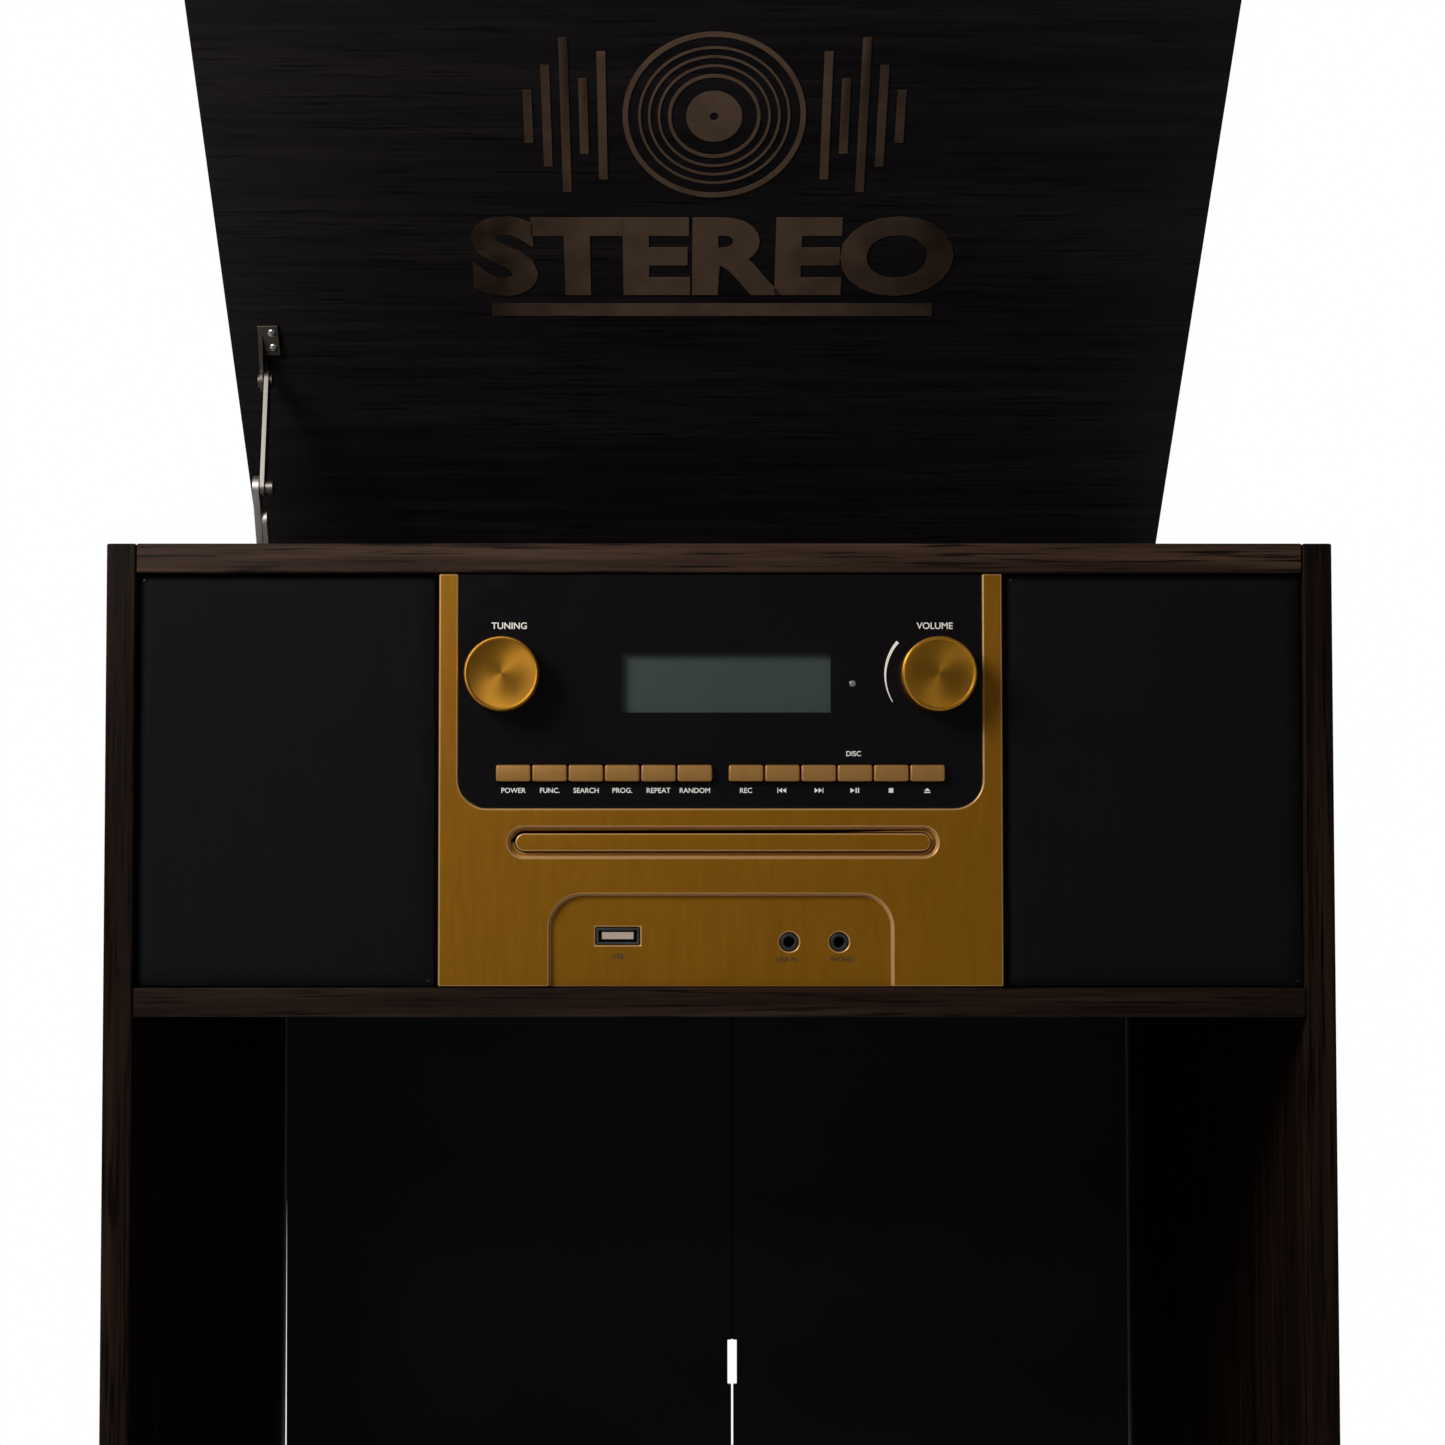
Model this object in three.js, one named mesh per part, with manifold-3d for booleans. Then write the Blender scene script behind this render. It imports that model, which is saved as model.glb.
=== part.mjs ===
// Radio phonograph console: a wooden case on legs with a radio and disc player in its upper front,
// a record player in a well under a hinged lid, and an open bay for records below.
// Millimetres, +Z up, the front faces -Y, x = 0 is the middle of the case, z = 0 is the floor.
import * as THREE from 'three';
import { mergeVertices } from 'three/addons/utils/BufferGeometryUtils.js';
import Module from 'manifold-3d';

const wasm = await Module();
wasm.setup();

// Case
const caseWidth = 420;
const caseDepth = 360;
const caseTop = 680;
const board = 10;
const gap = 0.3;
const recordBayHeight = 340;
const shelfTop = 528;
const legTopRadius = 17;
const legFootRadius = 9;
const legInset = 30;
const legFootEdge = 1.5;
const legShoulder = 8;

const front = -caseDepth / 2;
const back = caseDepth / 2;
const insideX = caseWidth / 2 - board;
const fitX = insideX - gap;
const shelfUnder = shelfTop - board;
const bottomTop = shelfUnder - recordBayHeight;
const bottomUnder = bottomTop - board;
const railFrontDepth = 30;
const railRearDepth = 15;
const backSheet = 3;
const backSheetFront = 173;
const cornerGap = { left: 0.4, right: 0.9 };
const sheetUnder = 1;
const sheetTop = 4.3;
const seam = { x: 12, gap: 1, lap: 4, lapThickness: 1.3 };
const cableNotch = { width: 4.4, bottom: 325, top: 346 };
const shrunkEdge = { width: 1.6, top: 430 };
const coverInset = 0.5;
const coverBottom = shelfTop - 3.7;
const vents = { groups: [-120, 0], halfWidth: 28, rows: 5, bottom: 556, pitch: 9, height: 4 };

// Turntable well
const deckTop = 620;
const deckUnder = deckTop - board;
const coverTop = deckTop - 0.1;
const wellWallFront = front + railFrontDepth + gap;
const wellWall = 6;
const spindle = { x: -36, y: 10.6, radius: 3.55, top: 655 };
const platterRadius = 114;
const platterTop = 641;
const beltRimRadius = 70;
const pulleyRadius = 8;
const pulleyDistance = 92;
const pulleyAngle = THREE.MathUtils.degToRad(150);
const pulley = {
  x: spindle.x + pulleyDistance * Math.cos(pulleyAngle),
  y: spindle.y + pulleyDistance * Math.sin(pulleyAngle),
};

const wellWallTop = caseTop - 4;
const spindleHole = 4;
const pulleyHole = 9;

// Platter: a rimmed disc on a hub, with a ring beneath for the belt
const platterUnder = 631;
const platterHub = { radius: 14, rise: 1, shaftBottom: 600 };
const beltRing = { width: 4, rise: 1.5 };
const platterRim = { width: 6, drop: 4, edge: 1.5 };
const spindleTip = { radius: 2, height: 2 };
const beltBand = { thickness: 1, bottom: 623.6, top: 628.4 };

// Motor and its pulley
const motorCan = { radius: 18, bottom: 578, top: 606, flange: 24, bore: 8.5, step: 615 };
const motorShaft = { bore: 1.9, floor: 582, radius: 1.5, bottom: 584 };
const pulleyWheel = { bottom: 621.5, lipTop: 622.6, groove: 623, grooveTop: 629, lip: 629.4, top: 630.4 };
const pulleyLip = 0.8;

// Tonearm
const armPivot = { x: 148, y: 108, z: 660 };
const armTubeRadius = 4;
const headY = -104;
const headTurn = THREE.MathUtils.degToRad(-20);
const armRest = { y: -60, left: 5, right: 8, halfDepth: 4, lipGap: 0.8, lip: 3.2, lipTop: 4 };
const armFoot = { radius: 20, shoulder: 18.5, height: 628, top: 629.5, post: 9, postTop: 645 };
const cueLug = { width: 6, halfDepth: 4, bottom: 628, top: 640 };
const yokeDisc = { radius: 9, bottom: 645.3, top: 650 };
const yokeBar = { half: 11, halfDepth: 5, bottom: 648, top: 651 };
const yokeEar = { apart: 9.5, half: 1.5, above: 6, bearing: 1.6 };
const gimbal = { half: 6, halfDepth: 7, pinRadius: 1.2, pinReach: 10.2 };
const shell = { half: 7.5, back: 1, front: -27, bottom: -4.5, top: -1 };
const cartridge = { half: 6, back: -6, front: -24, bottom: -13, top: -3.5 };
const stylus = { base: 1.5, tip: 0.4, length: 4, y: -21, z: -14 };
const shellSocket = { radius: 4.6, front: -8, back: 6 };
const armStub = 44;
const weight = { radius: 13, front: 16, shoulder: 38, back: 40, edge: 1.5 };
const cuePivot = { x: 164, y: 98, z: 635 };
const cueLever = { reach: 30, left: 4, right: 8, half: 1.2, barrel: 3.5, barrelEnd: 10 };
const cueGrip = { radius: 3, left: 2 };
const selector = { x: 178, y: -70, radius: 9, top: 627 };
const selectorBar = { half: 2, halfLength: 8, bottom: 626, top: 631 };

// Radio front
const openingBottom = shelfTop + gap;
const openingTop = caseTop - board - gap;
const baffleFront = -171;
const baffleDepth = 8;
const baffleBack = baffleFront + baffleDepth;
const fasciaFront = -179;
const fasciaBack = baffleFront - gap;
const fasciaLeft = -96;
const fasciaRight = 97;
const windowX = 0.4;
const windowHalfWidth = 89.8;
const windowBottom = 589.1;
const windowCorner = 10;
const windowRecess = 2.2;
const windowThickness = 1.5;
const knobs = { tuning: -74, volume: 74.5, z: 634.7, radius: 12.75, face: -189.3, shaft: 3, hole: 3.5 };
const knobEdge = { shaftEnd: -156, rear: 0.4, rim: 1, rimWidth: 2, dish: 0.4, middle: 0.2 };
const lcd = { left: -33.6, right: 38.2, bottom: 622, top: 642.5 };
const lcdBezel = { side: 2.1, height: 2, setBack: 1.1, back: -168, clear: 0.3 };
const button = { width: 11.9, pitch: 12.4, bottom: 598.3, top: 604, face: -181, edge: 0.5 };
const buttonFoot = { thickness: 1.5, over: 1.7 };
const buttonGroups = [
  { left: -76.3, names: ['power', 'function', 'search', 'program', 'repeat', 'random'] },
  { left: 3.2, names: ['record', 'back', 'forward', 'play', 'stop', 'eject'] },
];
const tray = { x: 1.3, z: 577.55, frontWidth: 142, frontHeight: 6.1, width: 128.6, depth: 153, thick: 3.8 };
const trayFront = { setBack: 0.4, thickness: 3.6, overlap: 0.5 };
const trayRecess = { width: 147, height: 10.3, depth: 2.2 };
const disc = { y: -109, radius: 60.5, recess: 1.4, hub: 19 };
const discHousing = { side: 8, front: -160, back: -12, bottom: 556, top: 600 };
const discThroat = { side: 1, front: -161, back: -18, under: 0.6, over: 3 };
const portBay = { left: -58.1, right: 59.2, top: 559.8, corner: 11.4, depth: 2 };
const portFloor = fasciaFront + portBay.depth;
const portBack = -160;
const usb = { x: -34.7, z: 545.5, width: 15.2, height: 6, wall: 0.7, pocketBack: -166 };
const usbTongue = { side: 1.6, front: 1.6, under: 2.6, over: 1.4 };
const jacks = { lineIn: 23.9, headphone: 41, z: 543.5, radius: 3, bore: 1.8, boreBack: -164 };
const baffleWindow = { left: -87.5, right: 88.5, bottom: 533, top: 665 };

// Speakers and grilles
const grilleOuterX = 199.4;
const grilleLeftInnerX = -97.8;
const grilleRightInnerX = 98.6;
const grilleFront = -177.5;
const grilleSkin = 1.2;
const grilleRim = 6;
const speaker = { x: 148.6, z: 569, radius: 38, hole: 34 };
const magnet = { radius: 22, back: -125, front: -140 };
const basket = { radius: 33, y: -157, rimBack: -159.7 };
const cone = { outer: 35, surround: 32, surroundDepth: 1.5, inner: 11, bottom: -150 };
const dustCap = { radius: 8, rim: -153.5, crown: -155 };

// Supply with its mains inlet
const supply = { left: 95, right: 165, front: 112, top: 571 };
const inlet = { x: 130, z: 550.5, width: 24, height: 13, front: 170, back: 178, rim: 2, depth: 12 };
const inletPin = { apart: 4.3, radius: 1.2, length: 11.5 };
const inletHoleGap = 0.3;

// Lid, its hinges and its stay. The lid stands open, so its pieces are built shut and then turned.
const lidThickness = 10;
const lidOpenAngle = THREE.MathUtils.degToRad(45);
const hingePin = { y: back + 4, z: caseTop, radius: 1.3 };
const knuckleRadius = 3.4;
const hingeX = 130;
const hingeWidth = 50;
const leafThickness = 1.2;
const knuckleClear = 0.4;
const caseLeafHeight = 25;
const stayWall = { forward: 66, up: -48, radius: 4.4, headRadius: 4, headRise: 1.2 };
const stayElbow = { forward: 125, up: 54.5 };
const stayLid = { along: 154, below: 8 };
const stayLower = { x: -198.4, cheek: 2.8, full: 5.2, radius: 5, fullRadius: 4.7, fullShort: 15 };
const stayUpper = { x: -195.3, thickness: 1.9, radius: 4.3, hole: 2.3 };
const stayRivet = { radius: 3.2, rise: 3.4 };
const bracketEar = { x: -197.3, thickness: 1.7, radius: 5 };
const bracketFoot = { width: 9, near: 9, far: 24, thickness: 1.6 };
const stayPin = { radius: 2, headRadius: 3.2, head: 1.1 };

const cabinet = new THREE.Group();

// ---- Solids -------------------------------------------------------------------------------

function box(x0, x1, y0, y1, z0, z1) {
  const geometry = new THREE.BoxGeometry(x1 - x0, y1 - y0, z1 - z0);
  return geometry.translate((x0 + x1) / 2, (y0 + y1) / 2, (z0 + z1) / 2);
}

// A solid of revolution. Each point is [radius, height along the axis].
function turned(points, segments, axis = 'z') {
  const outline = points.map(([radius, height]) => new THREE.Vector2(radius, height));
  const geometry = new THREE.LatheGeometry(outline, segments);
  return axis === 'z' ? geometry.rotateX(Math.PI / 2) : geometry;
}

function rod(axis, radius, from, to, at, segments = 20) {
  const geometry = new THREE.CylinderGeometry(radius, radius, to - from, segments);
  const middle = (from + to) / 2;
  if (axis === 'x') {
    return geometry.rotateZ(Math.PI / 2).translate(middle, at.y, at.z);
  }
  if (axis === 'y') {
    return geometry.translate(at.x, middle, at.z);
  }
  return geometry.rotateX(Math.PI / 2).translate(at.x, at.y, middle);
}

// An outline in x and z, given depth from yFront back to yBack.
function frontPlate(shape, yFront, yBack, curveSegments = 8) {
  const depth = yBack - yFront;
  const geometry = new THREE.ExtrudeGeometry(shape, { depth, bevelEnabled: false, curveSegments });
  return geometry.rotateX(Math.PI / 2).translate(0, yBack, 0);
}

// An outline in y and z, given thickness from x0 to x1.
function sidePlate(shape, x0, x1, curveSegments = 8) {
  const depth = x1 - x0;
  const geometry = new THREE.ExtrudeGeometry(shape, { depth, bevelEnabled: false, curveSegments });
  return geometry.rotateX(Math.PI / 2).rotateZ(Math.PI / 2).translate(x0, 0, 0);
}

// An outline in x and y, given height from z0 to z1.
function floorPlate(shape, z0, z1, curveSegments = 8) {
  const depth = z1 - z0;
  const geometry = new THREE.ExtrudeGeometry(shape, { depth, bevelEnabled: false, curveSegments });
  return geometry.translate(0, 0, z0);
}

// A rectangle whose lower and upper corners may be rounded.
function roundedOutline(left, right, bottom, top, lowerRadius, upperRadius, Outline = THREE.Shape) {
  const outline = new Outline();
  outline.moveTo(left + lowerRadius, bottom);
  outline.lineTo(right - lowerRadius, bottom);
  if (lowerRadius > 0) {
    outline.absarc(right - lowerRadius, bottom + lowerRadius, lowerRadius, -Math.PI / 2, 0, false);
  }
  outline.lineTo(right, top - upperRadius);
  if (upperRadius > 0) {
    outline.absarc(right - upperRadius, top - upperRadius, upperRadius, 0, Math.PI / 2, false);
  }
  outline.lineTo(left + upperRadius, top);
  if (upperRadius > 0) {
    outline.absarc(left + upperRadius, top - upperRadius, upperRadius, Math.PI / 2, Math.PI, false);
  }
  outline.lineTo(left, bottom + lowerRadius);
  if (lowerRadius > 0) {
    const centreX = left + lowerRadius;
    outline.absarc(centreX, bottom + lowerRadius, lowerRadius, Math.PI, Math.PI * 1.5, false);
  }
  outline.closePath();
  return outline;
}

function circleOutline(x, y, radius, Outline = THREE.Shape) {
  const outline = new Outline();
  outline.absarc(x, y, radius, 0, Math.PI * 2, false);
  return outline;
}

function pillOutline(width, height, grow = 0) {
  const radius = height / 2 + grow;
  const halfWidth = width / 2 + grow;
  return roundedOutline(
    tray.x - halfWidth,
    tray.x + halfWidth,
    tray.z - radius,
    tray.z + radius,
    radius - 0.01,
    radius - 0.01,
  );
}

// The outline around two circles of different size, one at the origin and one at (distance, 0).
function beltOutline(bigRadius, smallRadius, distance, Outline = THREE.Shape) {
  const wrap = Math.acos((bigRadius - smallRadius) / distance);
  const outline = new Outline();
  outline.absarc(0, 0, bigRadius, wrap, Math.PI * 2 - wrap, false);
  outline.absarc(distance, 0, smallRadius, -wrap, wrap, false);
  outline.closePath();
  return outline;
}

// The outline of a flat link: two round ends joined by a straight bar, in y and z.
function linkOutline(from, to, fromRadius, toRadius) {
  const lean = Math.atan2(to.z - from.z, to.y - from.y);
  const outline = new THREE.Shape();
  outline.absarc(from.y, from.z, fromRadius, lean + Math.PI / 2, lean + Math.PI * 1.5, false);
  outline.absarc(to.y, to.z, toRadius, lean - Math.PI / 2, lean + Math.PI / 2, false);
  outline.closePath();
  return outline;
}

function toSolid(geometry) {
  const bare = geometry.clone();
  bare.deleteAttribute('normal');
  bare.deleteAttribute('uv');
  const merged = mergeVertices(bare, 1e-4);
  const vertProperties = new Float32Array(merged.attributes.position.array);
  const triVerts = new Uint32Array(merged.index.array);
  return new wasm.Manifold(new wasm.Mesh({ numProp: 3, vertProperties, triVerts }));
}

function toGeometry(solid) {
  const mesh = solid.getMesh();
  const geometry = new THREE.BufferGeometry();
  geometry.setAttribute('position', new THREE.BufferAttribute(mesh.vertProperties, 3));
  geometry.setIndex(new THREE.BufferAttribute(mesh.triVerts, 1));
  geometry.computeVertexNormals();
  return geometry;
}

function join(...pieces) {
  return toGeometry(pieces.map(toSolid).reduce((whole, piece) => whole.add(piece)));
}

function cut(body, ...tools) {
  return toGeometry(tools.map(toSolid).reduce((whole, tool) => whole.subtract(tool), toSolid(body)));
}

function look(color, roughness, metalness) {
  return new THREE.MeshStandardMaterial({ color, roughness, metalness });
}

const woodLook = () => look(0x33221c, 0.55, 0);
const blackSheetLook = () => look(0x1b1719, 0.8, 0);
const clothLook = () => look(0x15171c, 0.95, 0);
const goldLook = () => look(0xa8742c, 0.35, 0.85);
const blackGlossLook = () => look(0x08080a, 0.12, 0);
const blackMattLook = () => look(0x1a1a1c, 0.6, 0);
const steelLook = () => look(0xb5b3ac, 0.3, 0.95);
const rubberLook = () => look(0x101012, 0.85, 0);

function place(name, geometry, material, group = cabinet) {
  const mesh = new THREE.Mesh(geometry, material);
  mesh.name = name;
  group.add(mesh);
}

// ---- Wooden case --------------------------------------------------------------------------

function addCase() {
  const outer = caseWidth / 2;
  place('side_panel_left', box(-outer, -insideX, front, back, bottomUnder, caseTop), woodLook());
  place('side_panel_right', box(insideX, outer, front, back, bottomUnder, caseTop), woodLook());
  const railUnder = caseTop - board;
  const railBack = front + railFrontDepth;
  place('top_rail_front', box(-fitX, fitX, front, railBack, railUnder, caseTop), woodLook());
  const rearFront = back - railRearDepth;
  place('top_rail_rear', box(-fitX, fitX, rearFront, back, deckTop + gap, caseTop), woodLook());
  const panelBack = backSheetFront - gap;
  place('middle_shelf', box(-fitX, fitX, front, panelBack, shelfUnder, shelfTop), woodLook());
  place('bottom_panel', box(-fitX, fitX, front, panelBack, bottomUnder, bottomTop), woodLook());
}

// The back of the record bay is two thin sheets that meet a little off the middle. A small notch for
// a cable is shared by their edges. Above it the left sheet laps behind the right one. A narrow slit
// is left along the case's back corners, and the left one widens downwards.
function addBackSheets() {
  const ahead = backSheetFront - 1;
  const sheetBack = backSheetFront + backSheet;
  const behind = sheetBack + 1;
  const bottom = bottomUnder + sheetUnder;
  const top = shelfTop - sheetTop;
  const leftEdge = -insideX + cornerGap.left;
  const rightEdge = insideX - cornerGap.right;
  const seamLeft = seam.x - seam.gap / 2;
  const seamRight = seam.x + seam.gap / 2;
  const notchHalf = cableNotch.width / 2;
  const notch = box(
    seam.x - notchHalf,
    seam.x + notchHalf,
    ahead,
    behind,
    cableNotch.bottom,
    cableNotch.top,
  );
  const lapFront = sheetBack - seam.lapThickness;
  const lapEnd = seamRight + seam.lap;
  const lap = box(seamLeft - 1, lapEnd, lapFront, sheetBack, cableNotch.top, top);
  const rebate = box(seamRight - 1, lapEnd + gap, lapFront - gap, behind, cableNotch.top - gap, top + 1);
  const shrunk = new THREE.Shape([
    new THREE.Vector2(-insideX, bottom - 1),
    new THREE.Vector2(leftEdge + shrunkEdge.width, bottom - 1),
    new THREE.Vector2(leftEdge, shrunkEdge.top),
    new THREE.Vector2(-insideX, shrunkEdge.top),
  ]);
  const left = box(leftEdge, seamLeft, backSheetFront, sheetBack, bottom, top);
  const right = box(seamRight, rightEdge, backSheetFront, sheetBack, bottom, top);
  const leftBody = cut(join(left, lap), notch, frontPlate(shrunk, ahead, behind));
  place('back_panel_left', leftBody, blackSheetLook());
  place('back_panel_right', cut(right, notch, rebate), blackSheetLook());
}

// The cover behind the electronics has two groups of vent slots and a window for the mains inlet.
function addRearCover() {
  const sheetBack = backSheetFront + backSheet;
  const half = fitX - coverInset;
  const cover = box(-half, half, backSheetFront, sheetBack, coverBottom, coverTop);
  const ahead = backSheetFront - 1;
  const behind = sheetBack + 1;
  const holeHalfWidth = inlet.width / 2 + inletHoleGap;
  const holeHalfHeight = inlet.height / 2 + inletHoleGap;
  const tools = [
    box(
      inlet.x - holeHalfWidth,
      inlet.x + holeHalfWidth,
      ahead,
      behind,
      inlet.z - holeHalfHeight,
      inlet.z + holeHalfHeight,
    ),
  ];
  for (const groupX of vents.groups) {
    for (let row = 0; row < vents.rows; row += 1) {
      const z = vents.bottom + row * vents.pitch;
      const left = groupX - vents.halfWidth;
      const right = groupX + vents.halfWidth;
      tools.push(box(left, right, ahead, behind, z, z + vents.height));
    }
  }
  place('rear_cover', cut(cover, ...tools), blackSheetLook());
}

function addLegs() {
  const top = bottomUnder - gap;
  const profile = [
    [0, 0],
    [legFootRadius, 0],
    [legFootRadius + 1, legFootEdge],
    [legTopRadius, top - legShoulder],
    [legTopRadius, top],
    [0, top],
  ];
  for (const [side, sign] of [['left', -1], ['right', 1]]) {
    const x = sign * (caseWidth / 2 - legInset);
    for (const [end, y] of [['front', front + legInset], ['rear', back - legInset]]) {
      place(`leg_${end}_${side}`, turned(profile, 24).translate(x, y, 0), woodLook());
    }
  }
}

// ---- Radio front --------------------------------------------------------------------------

// The board behind the grilles and the fascia: a round hole for each speaker, one window between.
function addBaffle() {
  const shape = roundedOutline(-fitX, fitX, openingBottom, openingTop, 0, 0);
  for (const side of [-1, 1]) {
    shape.holes.push(circleOutline(side * speaker.x, speaker.z, speaker.hole, THREE.Path));
  }
  const { left, right, bottom, top } = baffleWindow;
  shape.holes.push(roundedOutline(left, right, bottom, top, 0, 0, THREE.Path));
  place('front_baffle', frontPlate(shape, baffleFront, baffleBack, 12), blackMattLook());
}

// A cloth-covered frame, hollow behind its flat front.
function addGrille(name, left, right) {
  const body = box(left, right, grilleFront, fasciaBack, openingBottom + gap, openingTop - gap);
  const pocket = box(
    left + grilleRim,
    right - grilleRim,
    grilleFront + grilleSkin,
    fasciaBack + 1,
    openingBottom + grilleRim,
    openingTop - grilleRim,
  );
  place(name, cut(body, pocket), clothLook());
}

function addSpeaker(name, x) {
  const profile = [
    [0, magnet.back],
    [magnet.radius, magnet.back],
    [magnet.radius, magnet.front],
    [basket.radius, basket.y],
    [speaker.radius, basket.rimBack],
    [speaker.radius, baffleBack + gap],
    [cone.outer, baffleBack + gap],
    [cone.surround, baffleBack + cone.surroundDepth],
    [cone.inner, cone.bottom],
    [dustCap.radius, dustCap.rim],
    [0, dustCap.crown],
  ];
  place(name, turned(profile.reverse(), 28, 'y').translate(x, 0, speaker.z), blackMattLook());
}

function buttonSlots(yFront, yBack) {
  return buttonGroups.map(({ left, names }) => {
    const right = left + button.pitch * (names.length - 1) + button.width;
    return box(left - gap, right + gap, yFront, yBack, button.bottom - gap, button.top + gap);
  });
}

function knobHoles(yFront, yBack) {
  return [knobs.tuning, knobs.volume].map((x) => rod('y', knobs.hole, yFront, yBack, { x, z: knobs.z }));
}

function windowOutline(grow) {
  const half = windowHalfWidth + grow;
  const bottom = windowBottom - grow;
  const top = openingTop + (grow < 0 ? 0 : 2);
  return roundedOutline(windowX - half, windowX + half, bottom, top, windowCorner + grow, 0);
}

// The display's block, or the hole for it when it is grown.
function lcdBox(grow, yFront, yBack) {
  const side = lcdBezel.side + grow;
  const height = lcdBezel.height + grow;
  const bottom = lcd.bottom - height;
  return box(lcd.left - side, lcd.right + side, yFront, yBack, bottom, lcd.top + height);
}

function addFascia() {
  const shape = roundedOutline(fasciaLeft, fasciaRight, openingBottom, openingTop, 0, 0);
  const ahead = fasciaFront - 1;
  const behind = fasciaBack + 1;
  const bay = roundedOutline(
    portBay.left,
    portBay.right,
    openingBottom - 1,
    portBay.top,
    0,
    portBay.corner,
  );
  const usbHole = box(
    usb.x - usb.width / 2,
    usb.x + usb.width / 2,
    ahead,
    behind,
    usb.z - usb.height / 2,
    usb.z + usb.height / 2,
  );
  const jackHoles = [jacks.lineIn, jacks.headphone].map((x) => {
    return rod('y', jacks.radius + gap, ahead, behind, { x, z: jacks.z });
  });
  const trayPill = pillOutline(trayRecess.width, trayRecess.height);
  const body = cut(
    frontPlate(shape, fasciaFront, fasciaBack),
    frontPlate(windowOutline(0), ahead, fasciaFront + windowRecess),
    frontPlate(trayPill, ahead, fasciaFront + trayRecess.depth),
    frontPlate(pillOutline(tray.frontWidth, tray.frontHeight, gap), ahead, behind),
    frontPlate(bay, ahead, fasciaFront + portBay.depth),
    lcdBox(lcdBezel.clear, ahead, behind),
    usbHole,
    ...jackHoles,
    ...knobHoles(ahead, behind),
    ...buttonSlots(ahead, behind),
  );
  place('fascia_panel', body, goldLook());
}

function addWindow() {
  const windowBack = fasciaFront + windowRecess - gap;
  const windowFront = windowBack - windowThickness;
  const pane = cut(
    frontPlate(windowOutline(-gap), windowFront, windowBack),
    box(lcd.left, lcd.right, windowFront - 1, windowBack + 1, lcd.bottom, lcd.top),
    ...knobHoles(windowFront - 1, windowBack + 1),
    ...buttonSlots(windowFront - 1, windowBack + 1),
  );
  place('control_window', pane, blackGlossLook());
  const lcdBody = lcdBox(0, windowBack + lcdBezel.setBack, lcdBezel.back);
  place('lcd_display', lcdBody, look(0x4a5551, 0.25, 0));
}

// A key whose wide foot, behind the fascia, keeps it in its slot.
function buttonOutline() {
  const middle = (button.bottom + button.top) / 2;
  const half = (button.top - button.bottom) / 2;
  const footFront = fasciaBack + gap;
  const footBack = footFront + buttonFoot.thickness;
  const points = [
    [button.face, half - button.edge],
    [button.face + button.edge, half],
    [footFront, half],
    [footFront, half + buttonFoot.over],
    [footBack, half + buttonFoot.over],
  ];
  const upper = points.map(([y, up]) => new THREE.Vector2(y, middle + up));
  const lower = points.map(([y, up]) => new THREE.Vector2(y, middle - up)).reverse();
  return new THREE.Shape([...upper, ...lower]);
}

function addButtons() {
  for (const { left, names } of buttonGroups) {
    names.forEach((name, index) => {
      const x = left + index * button.pitch;
      place(`button_${name}`, sidePlate(buttonOutline(), x, x + button.width), goldLook());
    });
  }
}

function addKnob(name, x) {
  const rear = fasciaFront;
  const profile = [
    [0, knobEdge.shaftEnd],
    [knobs.shaft, knobEdge.shaftEnd],
    [knobs.shaft, rear],
    [knobs.radius - knobEdge.rear, rear],
    [knobs.radius, rear - knobEdge.rear],
    [knobs.radius, knobs.face + knobEdge.rim],
    [knobs.radius - knobEdge.rim, knobs.face],
    [knobs.radius - knobEdge.rimWidth, knobs.face + knobEdge.dish],
    [0, knobs.face + knobEdge.middle],
  ];
  place(name, turned(profile.reverse(), 36, 'y').translate(x, 0, knobs.z), goldLook());
}

function addDiscPlayer() {
  const trayFace = fasciaFront + trayFront.setBack;
  const bedFront = trayFace + trayFront.thickness;
  const bedBack = bedFront + tray.depth;
  const bedUnder = tray.z - tray.thick / 2;
  const bedTop = tray.z + tray.thick / 2;
  const half = tray.width / 2;
  const facePlate = frontPlate(pillOutline(tray.frontWidth, tray.frontHeight), trayFace, bedFront);
  const bedStart = bedFront - trayFront.overlap;
  const bed = box(tray.x - half, tray.x + half, bedStart, bedBack, bedUnder, bedTop);
  const centre = { x: tray.x, y: disc.y };
  const trayBody = cut(
    join(facePlate, bed),
    rod('z', disc.radius, bedTop - disc.recess, bedTop + 1, centre, 48),
    rod('z', disc.hub, bedUnder - 1, bedTop + 1, centre, 28),
  );
  place('cd_tray', trayBody, goldLook());

  const housing = box(
    tray.x - half - discHousing.side,
    tray.x + half + discHousing.side,
    discHousing.front,
    discHousing.back,
    discHousing.bottom,
    discHousing.top,
  );
  const throat = box(
    tray.x - half - discThroat.side,
    tray.x + half + discThroat.side,
    discThroat.front,
    discThroat.back,
    bedUnder - discThroat.under,
    bedTop + discThroat.over,
  );
  place('cd_mechanism', cut(housing, throat), blackMattLook());
}

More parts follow.
